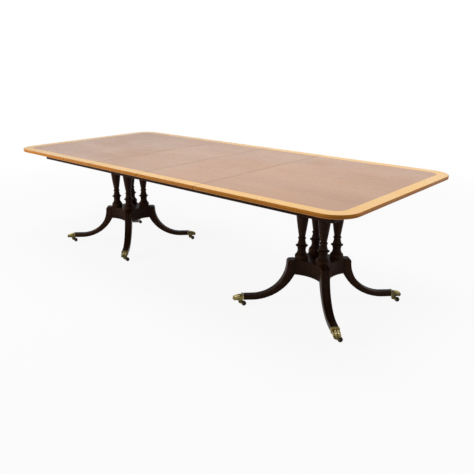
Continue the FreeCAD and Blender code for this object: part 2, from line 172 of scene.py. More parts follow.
@dataclass
class Shape:
    """A surface before it becomes a Blender object.

    Args:
        points: One row for each vertex.
        faces: Vertex numbers of each face.
        grain: The same vertices in the wood's own frame, with the fibre first.
        wear: One value for each vertex, 1 where hands and feet rub the finish and where light and highlights
            are painted on.
        dirt: One value for each vertex, 1 where polish and dust gather and where shade is painted on.
        finishes: Number of each face's finish.
    """

    points: np.ndarray
    faces: list[tuple[int, ...]]
    grain: np.ndarray
    wear: np.ndarray
    dirt: np.ndarray
    finishes: list[int]

    def placed(self, place: Matrix) -> "Shape":
        """A moved copy, whose grain stays as it is."""
        turn = np.array(place.to_3x3())
        return replace(self, points=self.points @ turn.T + np.array(place.translation))

    def grained(self, offset: Sequence[float]) -> "Shape":
        """A copy cut from another part of the log."""
        return replace(self, grain=self.grain + np.array(offset))

    def joined(self, *others: "Shape") -> "Shape":
        """Adds other shapes to this one.

        Args:
            others: The shapes to add.

        Returns:
            One shape with all their faces.
        """
        every = (self, *others)
        starts = accumulate((len(shape.points) for shape in every), initial=0)
        return Shape(
            np.vstack([shape.points for shape in every]),
            [
                tuple(number + start for number in face)
                for shape, start in zip(every, starts) for face in shape.faces
            ],
            np.vstack([shape.grain for shape in every]),
            np.concatenate([shape.wear for shape in every]),
            np.concatenate([shape.dirt for shape in every]),
            [number for shape in every for number in shape.finishes],
        )

    def paired(self, offset: Sequence[float] = (0, 0, 0)) -> "Shape":
        """Adds the mirror image across the table, cut from another part of the log."""
        return self.joined(self.placed(ACROSS).grained(offset))


def loft(
    rings: np.ndarray,
    grain: np.ndarray | None = None,
    wear: np.ndarray | None = None,
    dirt: np.ndarray | None = None,
    finishes: Sequence[int] | None = None,
) -> Shape:
    """Skins a row of closed rings and caps both ends.

    Args:
        rings: Points as rings by points by three.
        grain: The same points in the wood's own frame, if it isn't theirs.
        wear: Wear and painted light as rings by points.
        dirt: Dirt and painted shade as rings by points.
        finishes: The finish of each strip along the rings.

    Returns:
        The closed shape.
    """
    count, around, _ = rings.shape
    strips = list(finishes or [0] * around)
    faces = [
        (low + step, low + (step + 1) % around, low + around + (step + 1) % around, low + around + step)
        for low in range(0, (count - 1) * around, around) for step in range(around)
    ]
    faces.append(tuple(range(around))[::-1])
    faces.append(tuple((count - 1) * around + step for step in range(around)))
    blank = np.zeros((count, around))
    return Shape(
        rings.reshape(-1, 3),
        faces,
        (rings.copy() if grain is None else grain).reshape(-1, 3),
        (blank if wear is None else wear).reshape(-1),
        (blank if dirt is None else dirt).reshape(-1),
        strips * (count - 1) + [strips[-1]] * 2,
    )


def arc(centre: Point, radius: float, start: float, end: float, steps: int) -> list[Point]:
    """Points along an arc between two angles in degrees, both ends included."""
    angles = np.radians(np.linspace(start, end, steps + 1))
    return [(centre[0] + radius * math.cos(a), centre[1] + radius * math.sin(a)) for a in angles]


def bowed(start: Point, end: Point, bow: float, steps: int) -> list[Point]:
    """Points along a circular arc that stands off the straight line between two points.

    Args:
        start: First point.
        end: Last point.
        bow: How far the middle stands off to the right of the line.
        steps: Number of straight steps.

    Returns:
        The points in order, without the first one.
    """
    if bow == 0:
        return [end]
    a, b = np.array(start), np.array(end)
    run = b - a
    length = float(np.hypot(*run))
    right = np.array((run[1], -run[0])) / length
    radius = (length * length / 4 + bow * bow) / (2 * bow)
    centre = (a + b) / 2 + right * (bow - radius)
    first = math.atan2(*(a - centre)[::-1])
    sweep = 4 * math.atan(2 * bow / length)
    angles = first + sweep * np.linspace(0, 1, steps + 1)[1:]
    size = abs(radius)
    return [(centre[0] + size * math.cos(t), centre[1] + size * math.sin(t)) for t in angles]


def drawn_in(outline: np.ndarray, inset: float) -> np.ndarray:
    """Draws a closed outline in, keeping its corners mitred.

    Args:
        outline: Points of the outline, anticlockwise.
        inset: How far to draw it in.

    Returns:
        As many points, moved inwards.
    """
    before = outline - np.roll(outline, 1, axis=0)
    after = np.roll(outline, -1, axis=0) - outline
    normals = []
    for run in (before, after):
        unit = run / np.linalg.norm(run, axis=1, keepdims=True)
        normals.append(np.stack((-unit[:, 1], unit[:, 0]), axis=1))
    middle = normals[0] + normals[1]
    middle /= np.sum(middle * normals[0], axis=1, keepdims=True)
    return outline + middle * inset


@dataclass(frozen=True)
class Easing:
    """How an edge of a slab is eased.

    Args:
        size: How far the easing reaches in from the edge.
        steps: Straight steps of the easing, 1 for a chamfer.
    """

    size: float
    steps: int = 4

    def rows(self) -> list[Point]:
        """Section of the easing.

        Returns:
            Insets and heights from the face inwards.
        """
        if self.steps == 1:
            return [(self.size, 0.0), (0.0, self.size)]
        turns = np.radians(np.linspace(0, 90, self.steps + 1))
        return [(self.size * (1 - math.sin(t)), self.size * (1 - math.cos(t))) for t in turns]


# Wear of a slab above its lower edge, and on its upper edge
SIDE_WEAR, RIM_WEAR = 0.35, 0.8


def slab(outline: np.ndarray, low: float, high: float, below: Easing, above: Easing) -> Shape:
    """Stands an outline up between two heights with eased edges.

    Args:
        outline: Plan, anticlockwise.
        low: Height of the lower face.
        high: Height of the upper face.
        below: Easing of the lower edge.
        above: Easing of the upper edge.

    Returns:
        The closed shape, with its fibre along X.
    """
    levels = [(inset, low + rise) for inset, rise in below.rows()]
    levels += [(inset, high - rise) for inset, rise in reversed(above.rows())]
    rings = np.array([
        np.column_stack((drawn_in(outline, inset), np.full(len(outline), height)))
        for inset, height in levels
    ])
    wear = np.zeros(rings.shape[:2])
    wear[len(below.rows()):] = SIDE_WEAR
    wear[-2:] = RIM_WEAR
    return loft(rings, wear=wear)


def rectangle(low: Point, high: Point) -> np.ndarray:
    """The four corners of an upright rectangle, anticlockwise."""
    return np.array(((low[0], low[1]), (high[0], low[1]), (high[0], high[1]), (low[0], high[1])))


def prism(section: np.ndarray, start: float, end: float, ease: float) -> Shape:
    """Runs a section along X and eases its two ends.

    Args:
        section: Points across the run as Y and Z, anticlockwise.
        start: Where the run starts.
        end: Where it ends.
        ease: How much the ends are chamfered.

    Returns:
        The closed shape, with its fibre along X.
    """
    stations = ((start, ease), (start + ease, 0.0), (end - ease, 0.0), (end, ease))
    return loft(np.array([
        np.column_stack((np.full(len(section), x), drawn_in(section, inset)))
        for x, inset in stations
    ]))


def superellipse(half_width: float, half_height: float, power: float, count: int) -> np.ndarray:
    """A rounded rectangle as one smooth curve.

    Args:
        half_width: Half its width.
        half_height: Half its height.
        power: How square it is, 2 for an ellipse.
        count: Number of points.

    Returns:
        The points, anticlockwise.
    """
    turns = np.linspace(0, 2 * math.pi, count, endpoint=False)
    waves = np.column_stack((np.cos(turns), np.sin(turns)))
    return np.sign(waves) * np.abs(waves) ** (2 / power) * (half_width, half_height)


def distances(path: np.ndarray) -> np.ndarray:
    """Distance of each point along a path from its start."""
    runs = np.linalg.norm(np.diff(path, axis=0), axis=1)
    return np.concatenate(((0.0,), np.cumsum(runs)))


def ramp(value: np.ndarray, start: float, end: float) -> np.ndarray:
    """Rises from 0 where a value is at its start to 1 at its end, and stays there."""
    return np.clip((value - start) / (end - start), 0, 1)


# Node trees

class Tree:
    """Adds nodes to a node tree and links them."""

    def __init__(self, tree: bpy.types.NodeTree) -> None:
        """Keeps the tree that the nodes go into."""
        self.tree = tree

    def add(self, kind: str, inputs: dict[str | int, Any] | None = None, **settings: Any) -> bpy.types.Node:
        """Adds one node.

        Args:
            kind: Blender's name of the node type.
            inputs: A value or a socket to link for each input.
            settings: The node's own settings.

        Returns:
            The node.
        """
        node = self.tree.nodes.new(kind)
        for key, value in settings.items():
            setattr(node, key, value)
        for key, value in (inputs or {}).items():
            if isinstance(value, Socket):
                self.tree.links.new(value, node.inputs[key])
            else:
                node.inputs[key].default_value = value
        return node

    def math(self, operation: str, first: Any, second: Any) -> Socket:
        """One sum of two values, as a socket."""
        return self.add("ShaderNodeMath", {0: first, 1: second}, operation=operation).outputs[0]

    def vector(self, operation: str, first: Any, second: Any) -> Socket:
        """One sum of two vectors, as a socket."""
        return self.add("ShaderNodeVectorMath", {0: first, 1: second}, operation=operation).outputs[0]

    def remap(self, value: Any, span: Point, onto: Point = (0.0, 1.0)) -> Socket:
        """A value moved from one span onto another, clamped."""
        edges = {"From Min": span[0], "From Max": span[1], "To Min": onto[0], "To Max": onto[1]}
        return self.add("ShaderNodeMapRange", {"Value": value, **edges}).outputs["Result"]

    def blend(self, factor: Any, first: Any, second: Any) -> Socket:
        """Two colours mixed by the share of the second."""
        return self.add("ShaderNodeMix", {0: factor, 6: first, 7: second}, data_type="RGBA").outputs[2]

    def stretched(self, vector: Any, scale: Rgb) -> Socket:
        """A vector scaled along each axis."""
        return self.add("ShaderNodeMapping", {"Vector": vector, "Scale": scale}).outputs[0]

    def noise(self, vector: Any, scale: float, detail: float, roughness: float = 0.5) -> Socket:
        """A noise value between 0 and 1, by its scale, its octaves and the strength of the finer ones."""
        inputs = {"Vector": vector, "Scale": scale, "Detail": detail, "Roughness": roughness}
        return self.add("ShaderNodeTexNoise", inputs).outputs[0]


def emptied(owner: bpy.types.Material | bpy.types.World) -> Tree:
    """An empty node tree for a material or a world.

    Args:
        owner: The material or world.

    Returns:
        Its tree.
    """
    owner.use_nodes = True
    owner.node_tree.nodes.clear()
    return Tree(owner.node_tree)


def open_group(
    name: str,
    kind: TreeKind,
    inputs: dict[str, str],
    outputs: dict[str, str],
) -> tuple[Tree, Any]:
    """Starts a node group.

    Args:
        name: Name of the group.
        kind: What it works on.
        inputs: Kind of each input.
        outputs: Kind of each output.

    Returns:
        The tree, and the sockets that give its inputs.
    """
    group = bpy.data.node_groups.new(name, kind.value)
    for way, sockets in (("INPUT", inputs), ("OUTPUT", outputs)):
        for label, socket in sockets.items():
            group.interface.new_socket(label, in_out=way, socket_type=f"NodeSocket{socket}")
    tree = Tree(group)
    return tree, tree.add("NodeGroupInput").outputs


class Groups:
    """Shader node groups that all finishes share."""

    # Scales of the wood's pattern along its fibre and across it, and how far its fibre wanders
    BEND, FIGURE = (1.6, 5.0, 5.0), (0.9, 4.5, 4.5)
    STRIPE, VESSEL = (1.3, 46.0, 46.0), (26.0, 950.0, 950.0)
    WANDER = (0.0, 0.05, 0.05)
    STRIPE_RELIEF = 0.15
    # Scale of the wiping marks in the polish, and the share of its clouds
    WIPING = (9.0, 60.0, 30.0)
    CLOUD = 0.65

    def __init__(self) -> None:
        """Builds the groups."""
        self.wood, self.polish, self.patina = self._wood(), self._polish(), self._patina()

    def _wood(self) -> bpy.types.NodeTree:
        """Figure, stripe and pores of polished wood, with the fibre along the first axis.

        Returns:
            The group.
        """
        colours = dict.fromkeys(("Light", "Dark", "Pore"), "Color")
        strengths = dict.fromkeys(("Figure", "Stripe", "Pores"), "Float")
        tree, given = open_group(
            "wood figure", TreeKind.SHADER,
            {"Grain": "Vector", **colours, **strengths}, {"Color": "Color", "Height": "Float"},
        )
        grain = given["Grain"]
        wander = tree.add("ShaderNodeTexNoise", {
            "Vector": tree.stretched(grain, self.BEND), "Scale": 1.0, "Detail": 2.0,
        })
        bent = tree.vector("ADD", grain, tree.vector("MULTIPLY", wander.outputs["Color"], self.WANDER))
        broad = tree.noise(tree.stretched(bent, self.FIGURE), 1.0, 2.0)
        stripe = tree.noise(tree.stretched(bent, self.STRIPE), 1.0, 4.0, 0.6)
        vessel = tree.noise(tree.stretched(bent, self.VESSEL), 1.0, 2.0)
        figure = tree.math("MULTIPLY", tree.math("SUBTRACT", broad, 0.5), given["Figure"])
        lines = tree.math("MULTIPLY", tree.math("SUBTRACT", stripe, 0.5), given["Stripe"])
        tone = tree.remap(tree.math("ADD", tree.math("ADD", figure, lines), 0.5), (0.0, 1.0))
        depth = tree.math("MULTIPLY", tree.remap(vessel, (0.56, 0.70)), given["Pores"])
        tree.add("NodeGroupOutput", {
            "Color": tree.blend(depth, tree.blend(tone, given["Dark"], given["Light"]), given["Pore"]),
            "Height": tree.math("SUBTRACT", tree.math("MULTIPLY", stripe, self.STRIPE_RELIEF), depth),
        })
        return tree.tree

    def _polish(self) -> bpy.types.NodeTree:
        """Cloudy polish and fine wiping marks, from 0 where it shines to 1 where it is dull.

        Returns:
            The group.
        """
        tree, given = open_group(
            "hand polish", TreeKind.SHADER, {"Place": "Vector", "Dirt": "Float"}, {"Dullness": "Float"},
        )
        place = given["Place"]
        cloud = tree.math("MULTIPLY", tree.noise(place, 3.5, 3.0, 0.55), self.CLOUD)
        marks = tree.noise(tree.stretched(place, self.WIPING), 1.0, 3.0, 0.6)
        both = tree.math("ADD", cloud, tree.math("MULTIPLY", marks, 1 - self.CLOUD))
        dull = tree.math("ADD", tree.remap(both, (0.35, 0.68)), given["Dirt"])
        tree.add("NodeGroupOutput", {"Dullness": tree.remap(dull, (0.0, 1.0))})
        return tree.tree

    def _patina(self) -> bpy.types.NodeTree:
        """A colour rubbed through where it is worn and where light is painted on, and darkened where dirt
        gathers and where shade is painted on.

        Returns:
            The group.
        """
        colours = dict.fromkeys(("Color", "Worn", "Soiled"), "Color")
        tree, given = open_group(
            "wear and dirt", TreeKind.SHADER,
            {"Place": "Vector", **colours, "Wear": "Float", "Dirt": "Float"}, {"Color": "Color"},
        )
        patch = tree.noise(given["Place"], 38.0, 3.0, 0.6)
        rubbed = tree.math("MULTIPLY", given["Wear"], tree.remap(patch, (0.34, 0.66), (0.25, 1.0)))
        gathered = tree.math("MULTIPLY", given["Dirt"], tree.remap(patch, (0.3, 0.6), (0.75, 1.0)))
        worn = tree.blend(rubbed, given["Color"], given["Worn"])
        tree.add("NodeGroupOutput", {"Color": tree.blend(gathered, worn, given["Soiled"])})
        return tree.tree


# Finishes

def opaque(colour: Rgb) -> tuple[float, float, float, float]:
    """A colour with full opacity, as the sockets take it."""
    return (*colour, 1.0)


@dataclass(frozen=True, kw_only=True)
class Finish(ABC):
    """An aged surface, to which each kind of finish adds its own body.

    Args:
        name: Name of the material.
        worn: Colour where hands and feet rub it, and where light is painted on.
        soiled: Colour where wax and dust gather, and where shade is painted on.
        gloss: Lowest and highest roughness.
        specular: Specular level.
        relief: Depth of its pores or pits.
        bump: Strength of that relief.
    """

    name: str
    worn: Rgb
    soiled: Rgb
    gloss: Point
    specular: float = 0.5
    relief: float
    bump: float = 0.4

    @abstractmethod
    def body(self, tree: Tree, groups: Groups, place: Socket) -> tuple[Socket, Socket]:
        """The clean colour and the height of the relief."""

    def metallic(self, tree: Tree, dirt: Socket) -> Any:
        """How much of the surface is bare metal."""
        return 0.0

    def material(self, groups: Groups) -> bpy.types.Material:
        """Builds the material.

        Args:
            groups: The shared node groups.

        Returns:
            The material.
        """
        made = bpy.data.materials.new(self.name)
        tree = emptied(made)
        place = tree.add("ShaderNodeTexCoord").outputs["Object"]
        wear, dirt = (
            tree.add("ShaderNodeAttribute", attribute_name=label).outputs["Fac"] for label in ("wear", "dirt")
        )
        colour, height = self.body(tree, groups, place)
        aged = tree.add("ShaderNodeGroup", {
            "Place": place, "Color": colour, "Wear": wear, "Dirt": dirt,
            "Worn": opaque(self.worn), "Soiled": opaque(self.soiled),
        }, node_tree=groups.patina)
        dull = tree.add("ShaderNodeGroup", {"Place": place, "Dirt": dirt}, node_tree=groups.polish)
        bump = tree.add("ShaderNodeBump", {"Strength": self.bump, "Distance": self.relief, "Height": height})
        shader = tree.add("ShaderNodeBsdfPrincipled", {
            "Base Color": aged.outputs["Color"],
            "Metallic": self.metallic(tree, dirt),
            "Roughness": tree.remap(dull.outputs["Dullness"], (0.0, 1.0), self.gloss),
            "Specular IOR Level": self.specular,
            "Normal": bump.outputs[0],
        })
        tree.add("ShaderNodeOutputMaterial", {"Surface": shader.outputs[0]})
        return made


@dataclass(frozen=True, kw_only=True)
class WoodFinish(Finish):
    """A polished wood.

    Args:
        light: Colour of the pale wood.
        dark: Colour of the dark wood.
        pore: Colour inside the pores.
        figure: Strength of the broad figure.
        stripe: Strength of the fine stripe.
        pores: Strength of the pores.
        fibre: Which way the fibre lies.
    """

    light: Rgb
    dark: Rgb
    pore: Rgb
    figure: float
    stripe: float
    pores: float
    relief: float = 0.00004
    bump: float = 0.5
    fibre: FibreRun = FibreRun.LENGTHWISE

    def body(self, tree: Tree, groups: Groups, place: Socket) -> tuple[Socket, Socket]:
        """Figured wood, read in the piece's own grain frame.

        Args:
            tree: The material's tree.
            groups: The shared node groups.
            place: Where other patterns are read; not used here.

        Returns:
            The clean colour and the height of the relief.
        """
        grain = tree.add("ShaderNodeAttribute", attribute_name="grain").outputs["Vector"]
        if self.fibre is FibreRun.CROSSWISE:
            parts = tree.add("ShaderNodeSeparateXYZ", {0: grain}).outputs
            grain = tree.add("ShaderNodeCombineXYZ", {0: parts[1], 1: parts[0], 2: parts[2]}).outputs[0]
        wood = tree.add("ShaderNodeGroup", {
            "Grain": grain, "Figure": self.figure, "Stripe": self.stripe, "Pores": self.pores,
            "Light": opaque(self.light), "Dark": opaque(self.dark), "Pore": opaque(self.pore),
        }, node_tree=groups.wood)
        return wood.outputs["Color"], wood.outputs["Height"]


@dataclass(frozen=True, kw_only=True)
class MetalFinish(Finish):
    """A cast or turned metal with an old polish.

    Args:
        bright: Colour of the clean metal.
        toned: Colour where it has toned.
    """

    bright: Rgb
    toned: Rgb
    gloss: Point = (0.2, 0.42)
    relief: float = 0.00012

    def body(self, tree: Tree, groups: Groups, place: Socket) -> tuple[Socket, Socket]:
        """Cloudy tones, and the fine pits of a casting."""
        cloud = tree.remap(tree.noise(place, 42.0, 2.0), (0.32, 0.68))
        return tree.blend(cloud, opaque(self.toned), opaque(self.bright)), tree.noise(place, 420.0, 2.0)

    def metallic(self, tree: Tree, dirt: Socket) -> Any:
        """How much bare metal the dirt and the painted shade leave."""
        return tree.remap(dirt, (0.0, 1.0), (1.0, 0.4))


@dataclass(frozen=True, kw_only=True)
class TreadFinish(Finish):
    """A dark moulded wheel, scuffed where it rolls.

    Args:
        moulding: Colour of the moulding.
    """

    moulding: Rgb
    gloss: Point = (0.35, 0.65)
    specular: float = 0.06
    relief: float = 0.0001

    def body(self, tree: Tree, groups: Groups, place: Socket) -> tuple[Socket, Socket]:
        """A faint mottle, and the fine roughness of a moulding."""
        mottle = tree.remap(tree.noise(place, 180.0, 3.0, 0.6), (0.35, 0.65), (0.0, 0.5))
        return tree.blend(mottle, opaque(self.moulding), opaque(self.worn)), tree.noise(place, 700.0, 2.0)


FIELD = WoodFinish(
    name="mahogany field", light=(0.60, 0.333, 0.194), dark=(0.458, 0.234, 0.128), pore=(0.26, 0.109, 0.045),
    worn=(0.57, 0.33, 0.21), soiled=(0.075, 0.032, 0.016), figure=1.5, stripe=0.65, pores=0.22,
    gloss=(0.22, 0.34), specular=0.18, relief=0.000015,
)
BAND = WoodFinish(
    name="crossbanded border", light=(0.99, 0.60, 0.180), dark=(0.94, 0.51, 0.132), pore=(0.66, 0.31, 0.08),
    worn=(0.96, 0.60, 0.20), soiled=(0.13, 0.048, 0.014), figure=1.0, stripe=1.1, pores=0.25,
    gloss=(0.22, 0.34), specular=0.24,
)
EDGE = WoodFinish(
    name="moulded edge", light=(0.47, 0.168, 0.010), dark=(0.31, 0.096, 0.005), pore=(0.13, 0.036, 0.003),
    worn=(0.60, 0.24, 0.022), soiled=(0.06, 0.018, 0.004), figure=1.0, stripe=1.2, pores=0.4,
    gloss=(0.26, 0.40), specular=0.15, fibre=FibreRun.CROSSWISE,
)
DARK = WoodFinish(
    name="dark mahogany", light=(0.032, 0.0125, 0.0065), dark=(0.011, 0.0045, 0.0028),
    pore=(0.005, 0.0025, 0.002), worn=(0.058, 0.026, 0.013), soiled=(0.004, 0.0025, 0.002),
    figure=1.4, stripe=1.0, pores=0.5, gloss=(0.26, 0.42), specular=0.035,
)
RUNNER = WoodFinish(
    name="runner wood", light=(0.24, 0.13, 0.058), dark=(0.15, 0.075, 0.032), pore=(0.07, 0.03, 0.013),
    worn=(0.30, 0.18, 0.095), soiled=(0.05, 0.028, 0.014), figure=1.2, stripe=1.3, pores=0.7,
    gloss=(0.55, 0.75), specular=0.2,
)
# Its worn colour is brighter than brass can be and paints a highlight on the paws as well as their wear; its
# soiled colour also paints their shade
BRASS = MetalFinish(
    name="aged brass", bright=(0.25, 0.195, 0.052), toned=(0.125, 0.094, 0.019), worn=(1.0, 0.84, 0.40),
    soiled=(0.026, 0.019, 0.005),
)
TARNISH = MetalFinish(
    name="tarnished brass", bright=(0.085, 0.062, 0.018), toned=(0.048, 0.034, 0.009),
    worn=(0.20, 0.155, 0.07), soiled=(0.014, 0.010, 0.004), gloss=(0.34, 0.55),
)
STEEL = MetalFinish(
    name="screw steel", bright=(0.42, 0.40, 0.38), toned=(0.26, 0.24, 0.22), worn=(0.6, 0.58, 0.55),
    soiled=(0.05, 0.045, 0.04),
)
TREAD = TreadFinish(
    name="wheel tread", moulding=(0.010, 0.009, 0.008), worn=(0.026, 0.024, 0.021),
    soiled=(0.05, 0.046, 0.04),
)
FINISHES = (FIELD, BAND, EDGE, DARK, RUNNER, BRASS, TARNISH, STEEL, TREAD)


# Objects

def linked(name: str, data: bpy.types.ID) -> bpy.types.Object:
    """A new object in the scene.

    Args:
        name: Its name.
        data: Its mesh, lamp or camera.

    Returns:
        The object.
    """
    item = bpy.data.objects.new(name, data)
    bpy.context.scene.collection.objects.link(item)
    return item


def settle(piece: bpy.types.Object) -> None:
    """Makes a piece's modifiers part of its plain mesh.

    Args:
        piece: The piece.
    """
    bpy.context.view_layer.update()
    graph = bpy.context.evaluated_depsgraph_get()
    mesh = bpy.data.meshes.new_from_object(piece.evaluated_get(graph), depsgraph=graph)
    mesh.name = piece.name
    piece.modifiers.clear()
    piece.data = mesh


def store(mesh: bpy.types.Mesh, label: str, values: np.ndarray) -> None:
    """Keeps one value or vector for each vertex of a mesh.

    Args:
        mesh: The mesh.
        label: Name that the materials read.
        values: One row for each vertex.
    """
    kind, key = ("FLOAT_VECTOR", "vector") if values.ndim == 2 else ("FLOAT", "value")
    layer = mesh.attributes.new(label, kind, "POINT")
    layer.data.foreach_set(key, values.astype(np.float32).reshape(-1))


def taken(piece: bpy.types.Object) -> Shape:
    """Takes a helper object out of the scene again.

    Args:
        piece: The object, with its modifiers settled.

    Returns:
        Its shape, with its fibre along X and no wear, dirt, painted light or painted shade.
    """
    mesh = piece.data
    points = np.zeros(len(mesh.vertices) * 3)
    mesh.vertices.foreach_get("co", points)
    points = points.reshape(-1, 3)
    faces = [tuple(face.vertices) for face in mesh.polygons]
    bpy.data.objects.remove(piece)
    blank = np.zeros(len(points))
    return Shape(points, faces, points.copy(), blank, blank.copy(), [0] * len(faces))


class Workshop:
    """Turns shapes into finished pieces on the frame's bodies."""

    def __init__(self) -> None:
        """Builds the shared node groups and each finish once."""
        groups = Groups()
        self.materials = {finish.name: finish.material(groups) for finish in FINISHES}

    def make(
        self,
        name: str,
        shape: Shape,
        finishes: Sequence[Finish],
        body: str,
        slot: Slot,
        stands_for: Sequence[str] = (),
        sharp: float = 40.0,
    ) -> None:
        """Makes a finished piece and sets it on its body.

        Args:
            name: Name of the piece.
            shape: Its surface.
            finishes: Finishes in the order of the shape's numbers.
            body: The frame's body that carries it.
            slot: The record's slot that its finish belongs to; not used.
            stands_for: Frame nodes that it replaces.
            sharp: Angle in degrees above which an edge stays sharp.
        """
        mesh = bpy.data.meshes.new(name)
        mesh.from_pydata(shape.points.tolist(), [], shape.faces)
        for finish in finishes:
            mesh.materials.append(self.materials[finish.name])
        mesh.polygons.foreach_set("material_index", np.array(shape.finishes, dtype=np.int32))
        for label in ("grain", "wear", "dirt"):
            store(mesh, label, getattr(shape, label))
        solid = bmesh.new()
        solid.from_mesh(mesh)
        bmesh.ops.recalc_face_normals(solid, faces=solid.faces)
        solid.to_mesh(mesh)
        solid.free()
        mesh.shade_smooth()
        mesh.set_sharp_from_angle(angle=math.radians(sharp))
        piece = linked(name, mesh)
        piece.modifiers.new("Even light", "WEIGHTED_NORMAL").keep_sharp = True
        settle(piece)
        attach(piece, body)
        if stands_for:
            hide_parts(*stands_for)
        LOG.info("%s on %s, %d faces", piece.name, body, len(piece.data.polygons))


# Rules for turned and repeated pieces

class Rule:
    """A Geometry Nodes tree that makes a shape from points."""

    def __init__(self, name: str, **inputs: str) -> None:
        """Opens the tree, by its name and the kind of each input besides its points and finish."""
        kinds = {"Points": "Geometry", **inputs, "Finish": "Material"}
        self.tree, self.given = open_group(name, TreeKind.GEOMETRY, kinds, {"Made": "Geometry"})

    def close(self, geometry: Socket) -> None:
        """Sets the finish on what the tree makes, and ends the tree.

        Args:
            geometry: What it makes.
        """
        real = self.tree.add("GeometryNodeRealizeInstances", {"Geometry": geometry})
        dressed = self.tree.add("GeometryNodeSetMaterial", {
            "Geometry": real.outputs[0], "Material": self.given["Finish"],
        })
        self.tree.add("NodeGroupOutput", {"Made": dressed.outputs[0]})

    def run(
        self,
        points: Sequence[Sequence[float]],
        edges: Sequence[tuple[int, int]],
        **values: Any,
    ) -> Shape:
        """Runs the tree.

        Args:
            points: The points that it starts from.
            edges: Edges between them.
            values: The value of each input.

        Returns:
            The shape that it makes.
        """
        group = self.tree.tree
        mesh = bpy.data.meshes.new(group.name)
        mesh.from_pydata(points, edges, [])
        piece = linked(group.name, mesh)
        rule = piece.modifiers.new(group.name, "NODES")
        rule.node_group = group
        for socket in group.interface.items_tree:
            if socket.name in values:
                rule[socket.identifier] = values[socket.name]
        settle(piece)
        return taken(piece)


class Turning(Rule):
    """Turns a profile about the vertical."""

    # Radius of the circle that a profile is swept round, and the gap at its poles that is closed
    SPINDLE, POLE_GAP = 1e-5, 4e-5

    def __init__(self) -> None:
        """Builds the tree: the profile is swept round a very small circle and its poles are closed."""
        super().__init__("turning", Sides="Int")
        tree, given = self.tree, self.given
        profile = tree.add("GeometryNodeMeshToCurve", {"Mesh": given["Points"]})
        ring = tree.add("GeometryNodeCurvePrimitiveCircle", {
            "Resolution": given["Sides"], "Radius": self.SPINDLE,
        })
        swept = tree.add("GeometryNodeCurveToMesh", {
            "Curve": ring.outputs["Curve"], "Profile Curve": profile.outputs["Curve"],
        })
        closed = tree.add("GeometryNodeMergeByDistance", {
            "Geometry": swept.outputs[0], "Distance": self.POLE_GAP,
        })
        self.close(closed.outputs[0])

    def turn(self, profile: Sequence[Point], sides: int, finish: bpy.types.Material) -> Shape:
        """Turns one profile.

        Args:
            profile: Radius and height of each point, from pole to pole.
            sides: Number of sides.
            finish: The material that the tree sets.

        Returns:
            The turned shape about the vertical through the origin.
        """
        points = [(radius, -height, 0.0) for radius, height in profile]
        edges = [(step, step + 1) for step in range(len(points) - 1)]
        return self.run(points, edges, Sides=sides, Finish=finish)


class Screws(Rule):
    """Sets slotted screw heads on points, facing down."""

    # Radius and depth of a head, its number of sides, and the width of its slot
    RADIUS, DEPTH, SIDES, SLOT = 0.0045, 0.0016, 20, 0.0011

    def __init__(self) -> None:
        """Builds the tree: a round head with a slot, turned at random on each point."""
        super().__init__("screw heads", Seed="Int")
        tree, given = self.tree, self.given
        blank = tree.add("GeometryNodeMeshCone", {
            "Vertices": self.SIDES, "Depth": self.DEPTH,
            "Radius Top": self.RADIUS, "Radius Bottom": self.RADIUS,
        })
        blade = tree.add("GeometryNodeMeshCube", {"Size": (self.RADIUS * 3, self.SLOT, self.SLOT)})
        cut = tree.add("GeometryNodeMeshBoolean", {
            0: blank.outputs["Mesh"], 1: blade.outputs["Mesh"],
        }, operation="DIFFERENCE")
        angle = tree.add("FunctionNodeRandomValue", {"Seed": given["Seed"]}, data_type="FLOAT")
        turn = tree.add("ShaderNodeCombineXYZ", {2: tree.math("MULTIPLY", angle.outputs[1], math.tau)})
        heads = tree.add("GeometryNodeInstanceOnPoints", {
            "Points": given["Points"], "Instance": cut.outputs["Mesh"], "Rotation": turn.outputs[0],
        })
        self.close(heads.outputs[0])

    def heads(self, spots: Sequence[Sequence[float]], finish: bpy.types.Material, seed: int) -> Shape:
        """Heads on some spots, with a finish and the seed of their turns."""
        return self.run(spots, [], Seed=seed, Finish=finish)


# Sub-assemblies

